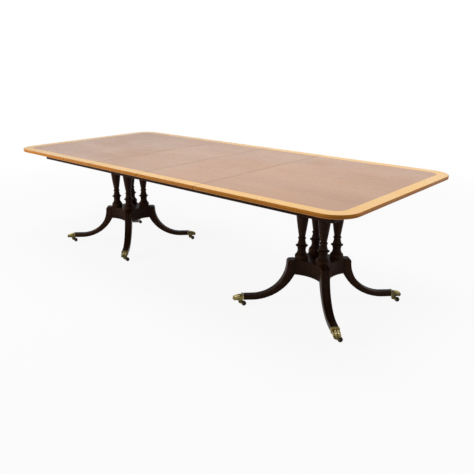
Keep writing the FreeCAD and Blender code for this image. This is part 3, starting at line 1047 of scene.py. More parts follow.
@dataclass
class TableTop:
    """The two end sections and the two loose leaves, with their borders and aprons.

    Args:
        workshop: Makes the pieces.
        border: Width of the light border.
        corner: Radius of the rounded outer corners.
        leaf: Length of a leaf along the table.
        seam: Gap between two sections.
        lift: Height of a leaf's underside above the runners.
        ease: Easing at the seams.
        line: Width of the dark line on each side of the joint between field and border.
        top_round: Rounding of the rim's upper edge.
        low_round: Rounding of the rim's lower edge.
        quirk: Depth of the line between the rim's flat and its lower rounding.
        apron_inset: From the rim to the outer face of the apron.
        apron_thickness: Thickness of the apron.
        apron_round: Rounding of the apron's outer corners.
        apron_ease: Easing of the apron's lower edges.
        joint_ease: Easing of its upper edges, under the top.
    """

    workshop: Workshop
    border: float = 0.066
    corner: float = 0.130
    leaf: float = 0.457
    seam: float = 0.0004
    lift: float = 0.0003
    ease: float = 0.0007
    line: float = 0.0012
    top_round: float = 0.003
    low_round: float = 0.007
    quirk: float = 0.0008
    apron_inset: float = 0.142
    apron_thickness: float = 0.020
    apron_round: float = 0.012
    apron_ease: float = 0.0015
    joint_ease: float = 0.0002

    # Stations next to a seam as shares of its easing, and the dirt at the first of them
    SEAM_STEPS = (0.0, 1.0, 2.4, 5.0)
    SEAM_DIRT = {0: 1.0, 1: 0.85, 2: 0.3}
    # Dirt in the line beside the border, under a field and a border, and in the rim's quirk
    LINE_DIRT, FIELD_DIRT, BORDER_DIRT, QUIRK_DIRT = 0.45, 0.3, 0.2, 0.8
    # Wear of the rim's flat and of its upper rounding, and wear with painted light on its lower rounding,
    # which faces down
    FLAT_WEAR, UPPER_WEAR, LOWER_WEAR = 0.2, 0.5, 0.4
    # Heights of the quirk's edges above the lower rounding, as shares of its depth
    QUIRK_EDGES = (3.4, 2.4, 1.4)
    # Finish of each strip of a field, of which only the underside is plain
    FIELD_STRIPS = (0, 0, 0, 0, 1, 0)
    # Straight steps of the corners of a field, the rim and the apron, and of the rim's two roundings
    FIELD_STEPS, RIM_STEPS, APRON_STEPS, UPPER_STEPS, LOWER_STEPS = 14, 18, 6, 5, 7
    # Where each kind of section was cut from the log
    SECTION_LOG, LEAF_LOG, STRIP_LOG = (3.1, 0.21, 0.37), (7.3, -0.33, 0.19), (0.0, 1.7, 0.0)

    def __post_init__(self) -> None:
        """Takes the overall sizes from the frame."""
        self.half_length, self.half_width, self.high = CAD_BOX[1]
        self.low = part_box("right_top_panel")[0].z
        self.apron_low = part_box("right_apron")[0].z
        self.section_start = self.leaf + self.seam / 2
        self.leaf_span = (self.seam / 2, self.leaf - self.seam / 2)
        self.steps = [self.ease * share for share in self.SEAM_STEPS]
        self.field_side = self.half_width - self.border
        self.apron_side = self.half_width - self.apron_inset

    def build(self) -> None:
        """Builds every piece of the top."""
        for side in Side:
            self.dress_section(side)
            self.dress_leaf(side)

    def dress_section(self, side: Side) -> None:
        """Makes one end section.

        Args:
            side: Which end.
        """
        field = self.field(self.end_stations(), self.low)
        rim = self.swept_rim(*self.end_rim(), self.low)
        self.dress(side, side.half, self.SECTION_LOG, (
            ("field", "top_panel", field, [FIELD, RUNNER], Slot.FIELD),
            ("border", "top_border", rim, [BAND, EDGE], Slot.BORDER),
            ("apron_frame", "apron", self.end_apron(), [DARK], Slot.DARK),
        ))

    def dress_leaf(self, side: Side) -> None:
        """Makes one loose leaf.

        Args:
            side: Which leaf.
        """
        low = self.low + self.lift
        field = self.field(self.leaf_stations(), low, both_seams=True)
        strips = self.swept_rim(*self.leaf_rim(), low).paired(self.STRIP_LOG)
        inside = self.apron_side - self.apron_thickness
        plan = rectangle((self.leaf_span[0], inside), (self.leaf_span[1], self.apron_side))
        self.dress(side, side.leaf, self.LEAF_LOG, (
            ("leaf_field", "leaf_panel", field, [FIELD, RUNNER], Slot.FIELD),
            ("leaf_edging", "leaf_border", strips, [BAND, EDGE], Slot.BORDER),
            ("leaf_rails", "leaf_apron", self.rail(plan, low).paired(), [DARK], Slot.DARK),
        ))

    def dress(
        self,
        side: Side,
        body: str,
        log: Sequence[float],
        pieces: Sequence[tuple[str, str, Shape, list[Finish], Slot]],
    ) -> None:
        """Makes the pieces of one section, which are drawn on the right.

        Args:
            side: Which side they go to.
            body: The frame's body that carries them.
            log: Where in the log their wood comes from.
            pieces: Name, frame node, surface, finishes and slot of each.
        """
        flip = Matrix.Diagonal((side.value, 1, 1, 1))
        offset = np.array(log) * side.value
        for name, node, shape, finishes, slot in pieces:
            shape = shape.placed(flip).grained(offset)
            self.workshop.make(f"{side.word}_{name}", shape, finishes, body, slot, [f"{side.word}_{node}"])

    def end_stations(self) -> list[Point]:
        """Stations of an end field, from its seam outwards.

        Returns:
            X and half the field's width at each.
        """
        radius = self.corner - self.border
        centre = (self.half_length - self.corner, self.half_width - self.corner)
        stations = [(self.section_start + step, self.field_side) for step in self.steps]
        return stations + arc(centre, radius, 90, 0, self.FIELD_STEPS)

    def leaf_stations(self) -> list[Point]:
        """Stations of a leaf's field, from its inner seam outwards.

        Returns:
            X and half the field's width at each.
        """
        start, end = self.leaf_span
        places = [start + step for step in self.steps] + [end - step for step in reversed(self.steps)]
        return [(place, self.field_side) for place in places]

    def field(self, stations: Sequence[Point], low: float, both_seams: bool = False) -> Shape:
        """The mahogany field of one section, with a plain underside.

        Args:
            stations: X and half width from the inner seam outwards.
            low: Height of the underside.
            both_seams: Whether the last station is a seam too.

        Returns:
            The closed shape.
        """
        last = len(stations) - 1
        rings, dirt = [], []
        for number, (x, side) in enumerate(stations):
            near = min(number, last - number) if both_seams else number
            high = self.high - (self.ease if near == 0 else 0.0)
            shade = self.SEAM_DIRT.get(near, 0.0)
            beside = max(shade, self.LINE_DIRT)
            across = (-side, self.line - side, side - self.line, side)
            rings.append([*((x, y, high) for y in across), (x, side, low), (x, -side, low)])
            dirt.append([beside, shade, shade, beside, self.FIELD_DIRT, self.FIELD_DIRT])
        return loft(np.array(rings), dirt=np.array(dirt), finishes=self.FIELD_STRIPS)

    def end_rim(self) -> tuple[list[Point], list[Point]]:
        """Rim of an end section from its front seam round to its back seam.

        Returns:
            The rim's points and its outward normals.
        """
        radius, reach, side = self.corner, self.half_length, self.half_width
        points = [(self.section_start + step, -side) for step in self.steps]
        normals = [(0.0, -1.0)] * len(points)
        for middle, start in ((radius - side, -90), (side - radius, 0)):
            points += arc((reach - radius, middle), radius, start, start + 90, self.RIM_STEPS)
            normals += arc((0, 0), 1, start, start + 90, self.RIM_STEPS)
        points += [(self.section_start + step, side) for step in reversed(self.steps)]
        normals += [(0.0, 1.0)] * len(self.steps)
        return points, normals

    def leaf_rim(self) -> tuple[list[Point], list[Point]]:
        """Points and outward normals of a leaf's front rim."""
        points = [(x, -self.half_width) for x, _ in self.leaf_stations()]
        return points, [(0.0, -1.0)] * len(points)

    def rim_section(self, low: float) -> np.ndarray:
        """Section of the border, from its inner upper edge round.

        Args:
            low: Height of the underside.

        Returns:
            Inset, height, wear with painted light, and dirt of each point, and the finish of the strip that
            it starts.
        """
        high, top, under, quirk = self.high, self.top_round, self.low_round, self.quirk
        shelf = low + under
        rows = [(self.border, high, 0.0, self.LINE_DIRT, 0), (self.border - self.line, high, 0.0, 0.0, 0)]
        for number, (x, y) in enumerate(arc((0, 0), top, 90, 0, self.UPPER_STEPS)):
            worn = self.UPPER_WEAR if 0 < number < self.UPPER_STEPS else self.FLAT_WEAR
            rows.append((top - x, high - top + y, worn, 0.0, 1))
        first, *sunk = (shelf + share * quirk for share in self.QUIRK_EDGES)
        rows.append((0.0, first, self.FLAT_WEAR, 0.0, 1))
        rows += [(quirk, height, 0.0, self.QUIRK_DIRT, 1) for height in sunk]
        # The lower rounding faces down; its wear is set above real wear to paint light onto it
        for x, y in arc((0, 0), under, 0, -90, self.LOWER_STEPS):
            rows.append((under - x, shelf + y, self.LOWER_WEAR, 0.0, 1))
        rows.append((self.border, low, 0.0, self.BORDER_DIRT, 1))
        return np.array(rows)

    def swept_rim(self, points: list[Point], normals: list[Point], low: float) -> Shape:
        """Sweeps the border's section along a rim whose two ends are seams.

        Args:
            points: Points of the rim.
            normals: Outward normals there.
            low: Height of the underside.

        Returns:
            The closed shape, with the fibre across the rim.
        """
        insets, heights, wear, dirt, finish = self.rim_section(low).T
        path = np.array(points)
        last = len(path) - 1
        rings, grain, soil = [], [], []
        for number, (spot, normal, along) in enumerate(zip(path, normals, distances(path))):
            near = min(number, last - number)
            drop = self.ease * (heights > self.high - self.top_round) if near == 0 else 0.0
            rings.append(np.column_stack((spot - np.outer(insets, normal), heights - drop)))
            grain.append(np.column_stack((insets, np.full_like(insets, along), heights)))
            soil.append(np.maximum(dirt, self.SEAM_DIRT.get(near, 0.0)))
        worn = np.tile(wear, (len(path), 1))
        return loft(np.array(rings), np.array(grain), worn, np.array(soil), finish.astype(int).tolist())

    def rail(self, plan: np.ndarray, high: float) -> Shape:
        """A rail of the apron, by its plan and the underside that it stands up to."""
        return slab(plan, self.apron_low, high, Easing(self.apron_ease), Easing(self.joint_ease, 1))

    def end_apron(self) -> Shape:
        """Apron of an end section as one bent rail.

        Returns:
            The closed shape, with the fibre along the rail.
        """
        outside, radius, start = self.apron_side, self.apron_round, self.section_start
        end = self.half_length - self.apron_inset
        inside, inner_end = outside - self.apron_thickness, end - self.apron_thickness
        shape = self.rail(np.array([
            (start, -outside),
            *arc((end - radius, radius - outside), radius, -90, 0, self.APRON_STEPS),
            *arc((end - radius, outside - radius), radius, 0, 90, self.APRON_STEPS),
            (start, outside), (start, inside), (inner_end, inside), (inner_end, -inside), (start, -inside),
        ]), self.low)
        x, y, z = shape.points.T
        in_end_rail = x > inner_end - self.joint_ease / 100
        along = np.where(in_end_rail, end + np.sign(y) * (np.abs(y) - outside), x)
        across = np.where(in_end_rail, end - x, outside - np.abs(y))
        return replace(shape, grain=np.column_stack((along, across, z)))


@dataclass
class Underframe:
    """Telescoping runners under the top, and the blocks that carry the columns.

    Args:
        workshop: Makes the pieces.
        screws: Sets the screw heads.
        lane: Inner face of the innermost runner.
        thickness: Thickness of a runner.
        clearance: Room between two runners.
        depth: Depth of a dovetail.
        neck: Half the dovetail's height at its neck.
        wide: Half the dovetail's height at its tip.
        ease: Easing of the ends.
        chamfer: Chamfer under a block.
        block_ease: Easing of a block's upper edge.
        screw_sink: How far a screw head stands in the wood.
        sharp: Angle in degrees above which an edge stays sharp.
    """

    workshop: Workshop
    screws: Screws
    lane: float = 0.150
    thickness: float = 0.030
    clearance: float = 0.0003
    depth: float = 0.008
    neck: float = 0.006
    wide: float = 0.009
    ease: float = 0.0012
    chamfer: float = 0.012
    block_ease: float = 0.0005
    screw_sink: float = 0.0005
    sharp: float = 30.0

    # Distances of the screws in a runner from the middle of the table
    SCREW_PLACES = (0.52, 0.68, 0.84, 1.0, 1.1)
    # How far the wood of a pair's second bar, and of the next lane, lies away in the log
    PAIR_LOG, LANE_LOG = (0.9, 0.4, 0.0), (1.3, 0.0, 0.0)

    def build(self) -> None:
        """Builds the runners, the blocks and their screws."""
        self.dress_runner("left_runners", Side.LEFT.half, 0, (Face.PLAIN, Face.GROOVE))
        self.dress_runner("right_runners", Side.RIGHT.half, 2, (Face.GROOVE, Face.PLAIN))
        self.dress_runner("middle_runners", "middle_slide", 1, (Face.TONGUE, Face.TONGUE))
        for number, side in enumerate(Side):
            self.dress_block(side)
            self.dress_screws(side, number)

    def lane_start(self, lane: int) -> float:
        """Inner face of a lane."""
        return self.lane + lane * (self.thickness + self.clearance)

    def dress_runner(self, node: str, body: str, lane: int, faces: tuple[Face, Face]) -> None:
        """Makes the two bars of one pair of runners.

        Args:
            node: Frame node that they stand for.
            body: The frame's body that carries them.
            lane: Their lane, counted outwards.
            faces: How their inner and their outer face are worked.
        """
        low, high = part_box(node)
        inner = self.lane_start(lane)
        outer = inner + self.thickness
        middle = (low.z + high.z) / 2
        section = np.array([
            (inner, low.z), (outer, low.z), *self.dovetail(outer, 1, middle, faces[1]),
            (outer, high.z), (inner, high.z), *reversed(self.dovetail(inner, -1, middle, faces[0])),
        ])
        pair = prism(section, low.x, high.x, self.ease).paired(self.PAIR_LOG)
        pair = pair.grained(np.array(self.LANE_LOG) * lane)
        self.workshop.make(f"{node}_bars", pair, [RUNNER], body, Slot.RUNNER, [node], self.sharp)

    def dovetail(self, face: float, outward: int, middle: float, worked: Face) -> list[Point]:
        """Section of the dovetail on one face of a runner.

        Args:
            face: Where the face lies.
            outward: The direction that it looks in, 1 or -1.
            middle: Height of the dovetail's middle.
            worked: How the face is worked.

        Returns:
            The dovetail's points as Y and Z, from low to high.
        """
        if worked is Face.PLAIN:
            return []
        room = self.clearance if worked is Face.GROOVE else 0.0
        neck, wide = self.neck + room, self.wide + room
        tip = face + outward * worked.value * self.depth
        return [(face, middle - neck), (tip, middle - wide), (tip, middle + wide), (face, middle + neck)]

    def dress_block(self, side: Side) -> None:
        """Makes the block at the top of one pedestal.

        Args:
            side: Which pedestal.
        """
        node = f"{side.word}_top_block"
        low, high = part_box(node)
        block = slab(rectangle((low.x, low.y), (high.x, high.y)), low.z, high.z,
                     Easing(self.chamfer, 1), Easing(self.block_ease, 1))
        name = f"{side.word}_column_block"
        self.workshop.make(name, block, [RUNNER], side.half, Slot.RUNNER, [node], self.sharp)

    def dress_screws(self, side: Side, seed: int) -> None:
        """Makes the screws that hold one side's runners and block to the top.

        Args:
            side: Which side.
            seed: Seed of the slots' turns.
        """
        runner_low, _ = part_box(f"{side.word}_runners")
        block_low, block_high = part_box(f"{side.word}_top_block")
        lane = self.lane_start(0 if side is Side.LEFT else 2) + self.thickness / 2
        spots = [
            (side.value * x, row * lane, runner_low.z + self.screw_sink)
            for x in self.SCREW_PLACES for row in (-1, 1)
        ]
        middle = (block_low + block_high) / 2
        reach = (block_high.x - block_low.x) / 2 - self.chamfer * 2
        spots += [
            (middle.x + reach * x, middle.y + reach * y, block_low.z + self.screw_sink)
            for x in (-1, 0, 1) for y in (-1, 0, 1) if (x, y) != (0, 0)
        ]
        heads = self.screws.heads(spots, self.workshop.materials[STEEL.name], seed)
        self.workshop.make(f"{side.word}_screws", heads, [STEEL], side.half, Slot.RUNNER, sharp=self.sharp)


@dataclass
class Pedestal:
    """One pedestal: four turned columns, a hollow-sided platform and four sabre legs.

    Args:
        workshop: Makes the pieces.
        turning: Turns the columns.
        side: Which end of the table.
        column_radius: Radius that a column's rows are shares of.
        column_spacing: Distance between two columns.
        reach: From the axis to the platform's corner flats.
        hollow: Depth of the platform's hollow sides.
        flat: Width of a corner flat and of a leg's head.
        platform_ease: Easing of the platform's edges.
        head_depth: Depth of a leg's head in front of its flat.
        head_ease: Easing of a leg's head behind its flat.
        sweep: Radius of a leg's upper curve.
        under: Radius of its lower curve.
        leg_end: Where a leg's taper ends.
        tip: Where it disappears in its toe cap.
        tip_width: Its width at the taper's end.
        tip_low: Its underside there.
        tip_high: Its upper face there.
        head_high: Height of a leg's head.
        groove: Radius of the two grooves along a leg.
        groove_offset: Distance of a groove from the leg's middle.
        groove_lip: Width of the lip beside a groove.
        groove_ease: Depth of the lip's edge.
        leg_round: Rounding of a leg's upper edges.
        leg_ease: Rounding of its lower edges.
        thin: Thickness below which the roundings shrink with the leg.
    """

    workshop: Workshop
    turning: Turning
    side: Side
    column_radius: float = 0.0395
    column_spacing: float = 0.142
    reach: float = 0.140
    hollow: float = 0.020
    flat: float = 0.050
    platform_ease: float = 0.0025
    head_depth: float = 0.043
    head_ease: float = 0.006
    sweep: float = 0.191
    under: float = 0.267
    leg_end: float = 0.436
    tip: float = 0.4315
    tip_width: float = 0.042
    tip_low: float = 0.036
    tip_high: float = 0.064
    head_high: float = 0.274
    groove: float = 0.0025
    groove_offset: float = 0.013
    groove_lip: float = 0.0012
    groove_ease: float = 0.0003
    leg_round: float = 0.0032
    leg_ease: float = 0.003
    thin: float = 0.02

    # Height, radius and outward bow of each row of the turning, as shares of its height and radius
    COLUMN_ROWS = (
        (0.000, 0.935, 0.00), (0.002, 0.95, 0.00), (0.018, 0.95, 0.00), (0.020, 0.935, 0.00),
        (0.022, 0.91, 0.00), (0.066, 0.91, 0.06), (0.140, 0.585, -0.09), (0.178, 0.65, 0.00),
        (0.184, 0.67, 0.00), (0.195, 0.86, -0.02), (0.203, 0.86, 0.02), (0.214, 0.64, -0.02),
        (0.232, 0.60, -0.01), (0.288, 0.485, -0.02), (0.295, 0.51, 0.00), (0.317, 0.51, 0.08),
        (0.332, 0.46, 0.00), (0.640, 0.91, 0.025), (0.646, 0.94, 0.00), (0.676, 0.94, 0.09),
        (0.710, 0.70, -0.07), (0.800, 0.66, -0.02), (0.905, 0.84, -0.04), (0.935, 0.84, 0.07),
        (0.940, 0.92, 0.00), (1.000, 0.92, 0.00),
    )
    # Sides of a column, and straight steps of its bows and of the platform's hollows
    COLUMN_SIDES, BOW_STEPS, HOLLOW_STEPS = 56, 8, 24
    # How far off its neighbours a ring is compared with, and how far it stands proud where fully worn
    RING_SPAN, PROUD = 0.006, 0.003
    # Wear of a ring for each share that it stands proud and on the level, and dirt in a full hollow
    RING_WEAR, LEVEL_WEAR, HOLLOW_DIRT = 0.5, 0.3, 0.8
    # Radius within which the columns' ends stay plain
    POLE = 0.005
    # Where the wood of the first corner lies in the log, and how far off that of the next one
    FIRST_LOG, NEXT_LOG = (0.4, 0.0, 0.23), (1.9, 0.31, 0.0)
    # Angles in degrees above which the edges of a column and of a leg stay sharp
    COLUMN_SHARP, LEG_SHARP = 40.0, 50.0
    # Straight steps of a leg's head, of its curves and of its toe, and the slope of the grooves' start
    HEAD_STEPS, CURVE_STEPS, TOE_STEPS = 9, 40, 5
    GROOVE_START = (-2.2, 9.1)
    # Angles in degrees round a groove and round an upper edge of a leg
    GROOVE_TURNS, EDGE_TURNS = (150, 120, 90, 60, 30), (90, 67, 45, 22, 0)
    # Wear and dirt under a leg
    UNDER_WEAR, UNDER_DIRT = 0.3, 0.2
    # Inset and rise of an eased lower edge of a leg, as shares of its rounding
    LOWER_EDGE = ((0.0, 1.0), (0.3, 0.3), (1.0, 0.0))

    def __post_init__(self) -> None:
        """Takes the pedestal's heights from the frame."""
        low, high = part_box(f"{self.side.word}_platform")
        self.platform_low, self.platform_high = low.z, high.z
        self.column_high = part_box(f"{self.side.word}_top_block")[0].z

    def build(self) -> None:
        """Builds the platform, the columns and the legs."""
        word, body, make = self.side.word, self.side.half, self.workshop.make
        axis = self.side.axis
        plat = self.platform().placed(Matrix.Translation(axis))
        make(f"{word}_hollow_platform", plat, [DARK], body, Slot.DARK, [f"{word}_platform"])
        column, leg, half = self.column(), self.leg(), self.column_spacing / 2
        for number, corner in enumerate(corners_of(self.side)):
            log = np.array(self.NEXT_LOG) * number + np.array(self.FIRST_LOG) * (1, 1, self.side.value)
            spot = axis + Vector((corner.along * half, corner.across * half, 0))
            for piece, shape, place, sharp in (
                ("turned_column", column, spot, self.COLUMN_SHARP), ("sabre_leg", leg, axis, self.LEG_SHARP),
            ):
                shape = shape.placed(Matrix.Translation(place) @ corner.turn).grained(log)
                node = f"{corner.name}_{piece.split('_')[1]}"
                make(f"{corner.name}_{piece}", shape, [DARK], body, Slot.DARK, [node], sharp)

    def column(self) -> Shape:
        """A turned column about the vertical.

        Returns:
            The closed shape, with the fibre upright.
        """
        height = self.column_high - self.platform_high
        rows = [
            (r * self.column_radius, self.platform_high + z * height, bow * self.column_radius)
            for z, r, bow in self.COLUMN_ROWS
        ]
        profile: list[Point] = [(0.0, self.platform_high), rows[0][:2]]
        for (r0, z0, _), (r1, z1, bow) in zip(rows, rows[1:]):
            profile += bowed((r0, z0), (r1, z1), bow, self.BOW_STEPS)
        profile.append((0.0, self.column_high))
        shape = self.turning.turn(profile, self.COLUMN_SIDES, self.workshop.materials[DARK.name])
        x, y, z = shape.points.T
        line = np.array([spot for spot in profile if spot[0] > 0])
        line = line[np.argsort(line[:, 1], kind="stable")]
        below, near, above = (
            np.interp(z + d, line[:, 1], line[:, 0]) for d in (-self.RING_SPAN, 0.0, self.RING_SPAN)
        )
        proud = np.clip((near - (below + above) / 2) / self.PROUD, -1, 1) * (np.hypot(x, y) > self.POLE)
        return replace(
            shape,
            grain=np.column_stack((z, x, y)),
            wear=np.clip(proud * self.RING_WEAR + self.LEVEL_WEAR, 0, 1),
            dirt=np.clip(-proud, 0, 1) * self.HOLLOW_DIRT,
        )

    def platform(self) -> Shape:
        """The platform, square with a flat on each corner and a hollow along each side.

        Returns:
            The closed shape about the vertical.
        """
        half = self.flat / 2
        outline: list[Point] = []
        for corner in range(4):
            turn = math.radians(45 + 90 * corner)
            out, aside = (math.cos(turn), math.sin(turn)), (-math.sin(turn), math.cos(turn))
            first, last = (
                tuple(out[k] * self.reach + aside[k] * half * way for k in (0, 1)) for way in (-1, 1)
            )
            following = (-first[1], first[0])
            outline += [first, last, *bowed(last, following, -self.hollow, self.HOLLOW_STEPS)[:-1]]
        return slab(np.array(outline), self.platform_low, self.platform_high,
                    Easing(self.platform_ease), Easing(self.platform_ease, 5))

    def leg_paths(self) -> tuple[np.ndarray, np.ndarray, np.ndarray]:
        """Matched points along the upper and the lower line of a leg.

        Returns:
            Both lines as outward distance and height, and how deep the grooves are at each point.
        """
        front = self.reach + self.head_depth
        sweep_centre = (front + self.sweep, self.tip_high + self.sweep)
        rounding = self.head_high - sweep_centre[1]
        middle = self.reach + (self.head_depth - rounding) / 2
        upper = [(self.reach, self.head_high), (middle, self.head_high)]
        upper += arc((front - rounding, sweep_centre[1]), rounding, 90, 6, self.HEAD_STEPS)
        head = len(upper)
        upper += arc(sweep_centre, self.sweep, 180, 270, self.CURVE_STEPS)
        under_z = self.tip_low + self.under
        run = math.sqrt(self.under ** 2 - (under_z - self.platform_low) ** 2)
        centre = (self.reach + run, under_z)
        start = math.degrees(math.atan2(self.platform_low - under_z, -run)) % 360
        drop = np.linspace(self.head_high - self.head_ease, self.platform_low, head + 1)[:-1]
        lower = [(self.reach, z) for z in drop]
        lower += arc(centre, self.under, start, 270, self.CURVE_STEPS)
        for line, end, height in ((upper, sweep_centre, self.tip_high), (lower, centre, self.tip_low)):
            line += [(x, height) for x in np.linspace(end[0], self.tip, self.TOE_STEPS + 1)[1:]]
        begun = np.clip(np.linspace(*self.GROOVE_START, self.CURVE_STEPS + 1), 0, 1)
        depth = np.concatenate((np.zeros(head), begun, np.ones(self.TOE_STEPS)))
        return np.array(upper), np.array(lower), depth

    def leg_section(self, half: float, groove: float) -> np.ndarray:
        """Upper half of a leg's section, from one side face over to the other.

        Args:
            half: Half the leg's width there.
            groove: How much of the grooves' depth there is.

        Returns:
            Distance across, depth below the upper line, wear and dirt of each point.
        """
        cut, middle, lip, size = self.groove, self.groove_offset, self.groove_lip, self.leg_round
        edge = self.groove_ease * groove
        right = [(middle - cut - lip, 0.0, 0.3, 0.0), (middle - cut, edge, 0.5, 0.2)]
        for t in np.radians(self.GROOVE_TURNS):
            right.append((middle + cut * math.cos(t), cut * math.sin(t) * groove, 0.0, groove * math.sin(t)))
        right += [(middle + cut, edge, 0.5, 0.2), (middle + cut + lip, 0.0, 0.4, 0.0)]
        for t in np.radians(self.EDGE_TURNS):
            right.append((half - size + size * math.cos(t), size * (1 - math.sin(t)), 0.9, 0.0))
        left = [(-y, *rest) for y, *rest in reversed(right)]
        return np.array(left + [(0.0, 0.0, 0.1, 0.0)] + right)

    def leg(self) -> Shape:
        """A sabre leg along X, with two grooves along its upper face.

        Returns:
            The closed shape, with the fibre along the leg.
        """
        upper, lower, grooves = self.leg_paths()
        length = distances((upper + lower) / 2)
        taper = (self.flat - self.tip_width) / (self.leg_end - self.reach) / 2
        easing = np.array(self.LOWER_EDGE) * self.leg_ease
        rings, grain, wear, dirt = [], [], [], []
        for high, low, groove, along in zip(upper, lower, grooves, length):
            thick = float(np.hypot(*(low - high)))
            down = (low - high) / thick
            half, half_low = (self.flat / 2 - taper * (line[0] - self.reach) for line in (high, low))
            limit = min(1.0, thick / self.thin)
            across, depth, worn, soiled = self.leg_section(half, groove).T
            edge = np.column_stack((half_low - easing[:, 0], easing[:, 1] * limit))
            edge = np.vstack((edge, edge[::-1] * (-1, 1)))
            above = high + np.outer(depth * limit, down)
            below = low - np.outer(edge[:, 1], down)
            sides = np.concatenate((across, edge[:, 0]))
            rings.append(np.insert(np.vstack((above, below)), 1, sides, axis=1))
            deep = np.concatenate((depth, thick - edge[:, 1]))
            grain.append(np.column_stack((np.full_like(deep, along), sides, deep)))
            wear.append([*worn, *[self.UNDER_WEAR] * len(edge)])
            dirt.append([*soiled, *[self.UNDER_DIRT] * len(edge)])
        return loft(np.array(rings), np.array(grain), np.array(wear), np.array(dirt))


@dataclass
class Feet:
    """Brass paw toe caps and swivelling casters of one pedestal.

    Args:
        workshop: Makes the pieces.
        turning: Turns the round parts.
        side: Which pedestal.
        collar_back: Where the collar starts, from the pedestal's axis.
        collar_half: Half the collar's width and height.
        collar_middle: Height of the collar's middle.
        paw_low: Height of the paw's underside.
        voxel: Grain of the paw's casting.
        caster_reach: From the axis to the swivel.
        caster_turn: Direction that the caster trails in, in degrees.
        trail: From the swivel to the axle.
        wheel_radius: Radius of the wheel.
        wheel_half: Half its width.
        wheel_round: Rounding of its tread's edges.
        cheek_gap: From the wheel to a cheek of the fork.
        cheek: Thickness of a cheek.
        swivel_gap: From the paw to the swivel head.
    """

    workshop: Workshop
    turning: Turning
    side: Side
    collar_back: float = 0.428
    collar_half: Point = (0.0235, 0.0165)
    collar_middle: float = 0.050
    paw_low: float = 0.030
    voxel: float = 0.0009
    caster_reach: float = 0.447
    caster_turn: float = 12.0
    trail: float = 0.024
    wheel_radius: float = 0.0135
    wheel_half: float = 0.006
    wheel_round: float = 0.0025
    cheek_gap: float = 0.0006
    cheek: float = 0.0024
    swivel_gap: float = 0.0003

    # Distance from the collar's back, and how far the collar is drawn in there
    COLLAR_ROWS = (
        (0.0000, 0.0026), (0.0000, 0.0012), (0.0003, 0.0004), (0.0010, 0.0001), (0.0022, 0.0000),
        (0.0032, 0.0003), (0.0038, 0.0010), (0.0042, 0.0017), (0.0055, 0.0020), (0.0068, 0.0017),
        (0.0074, 0.0009), (0.0082, 0.0003), (0.0094, 0.0000), (0.0106, 0.0002), (0.0114, 0.0007),
        (0.0119, 0.0016), (0.0122, 0.0030), (0.0140, 0.0045),
    )
    # How square the collar is, and its number of sides
    COLLAR_POWER, COLLAR_SIDES = 7.0, 56
    # Where the first bead ends, its wear, that of the second one and that between them
    FIRST_BEAD, FIRST_WEAR, SECOND_WEAR, BETWEEN_WEAR = 0.0035, 0.75, 0.35, 0.05
    # Up to what inset a bead is rubbed, between which insets dirt gathers, and its depth and limit
    BEAD_INSET, DIRT_INSETS, DIRT_DEPTH, DIRT_LIMIT = 0.0004, (0.0012, 0.0025), 0.0024, 0.8
    # Middle and radii of each lump of the paw, in millimetres
    PAD_LUMPS = (
        ((446.0, 0.0, 44.0), (18.0, 20.5, 19.0)),
        ((457.0, 0.0, 43.0), (19.0, 20.5, 16.0)),
        ((467.0, 0.0, 42.5), (18.5, 19.6, 12.0)),
    )
    # The same of each toe and of its claw at the end, without the distance from the middle
    TOE_LUMPS = (
        ((450.0, 53.0), (12.0, 6.3, 10.6)),
        ((460.0, 51.6), (12.0, 6.7, 10.4)),
        ((470.0, 49.2), (11.5, 6.8, 10.0)),
        ((477.5, 46.2), (11.0, 6.6, 9.0)),
        ((480.5, 41.6), (10.0, 6.0, 6.8)),
        ((487.4, 38.5), (3.4, 2.0, 4.0)),
    )
    # Distance of each toe from the middle, how far it stands back and lies lower, and its share of the size
    TOE_PLACES = (
        (-16.2, -5.0, 2.6, 0.80), (-6.2, 0.0, 0.0, 1.0), (6.2, 0.0, 0.0, 1.0), (16.2, -5.0, 2.6, 0.80),
    )
    # Where the toes' rubbing and painted highlight starts and is full: outwards, back from the claws, upwards
    # and facing up
    RUB_OUT, RUB_BACK, RUB_UP, RUB_FACE = (0.446, 0.454), (0.4835, 0.4755), (0.044, 0.048), (0.2 / 3, 0.4)
    # Where it fades on the outer toes, how far it does, what it keeps on the claws, and its strength, which
    # goes beyond full wear to paint the highlight
    RUB_ASIDE, RUB_FADE, RUB_CLAWS, RUB_STRENGTH = (0.0105, 0.0145), 0.75, 0.15, 1.6
    # Where the claws' darkening starts and is full, downwards and outwards, and where the painted shade of
    # faces turned down starts and is full
    CLAW_DOWN, CLAW_OUT, FACE_DOWN = (0.043, 0.037), (0.470, 0.476), (0.3, -0.7)
    # Dirt in a hollow, painted shade on a face turned down, and darkening on a claw
    PAW_DIRT = (1.2, 0.4, 0.5)
    PAW_SHARP = 60.0
    # How much painted shade each paw gets, and how much of its rubbed metal and painted highlight that takes
    TONES = {
        "left_front_outer": 0.50, "left_front_inner": 0.50,
        "left_back_outer": 0.60, "left_back_inner": 0.80,
        "right_front_outer": 0.0, "right_front_inner": 0.20,
        "right_back_outer": 0.80, "right_back_inner": 0.60,
    }
    TONE_DEPTH = 0.8
    # Radius of the swivel head, and how far below its top
    RACE_ROWS = (
        (0.0, 0.0), (0.0094, 0.0), (0.0100, 0.0006), (0.0100, 0.0028), (0.0094, 0.0032), (0.0094, 0.0040),
        (0.0100, 0.0044), (0.0100, 0.0082), (0.0092, 0.0090), (0.0, 0.0090),
    )
    # Middle of a cheek's upper end, below the head's top, and the radii of its two ends
    CHEEK_TOP, CHEEK_RADII = (0.0010, 0.0092), (0.0090, 0.0038)
    # Easing of a cheek's inner and outer edges
    CHEEK_EASES = (Easing(0.0003, 1), Easing(0.0006, 3))
    # Wear of a cheek's outer face, how far off it still counts, and dirt at the floor and up to where
    CHEEK_WEAR, CHEEK_NEAR, FLOOR_DIRT, DIRT_HIGH = 0.35, 0.0002, 0.6, 0.012
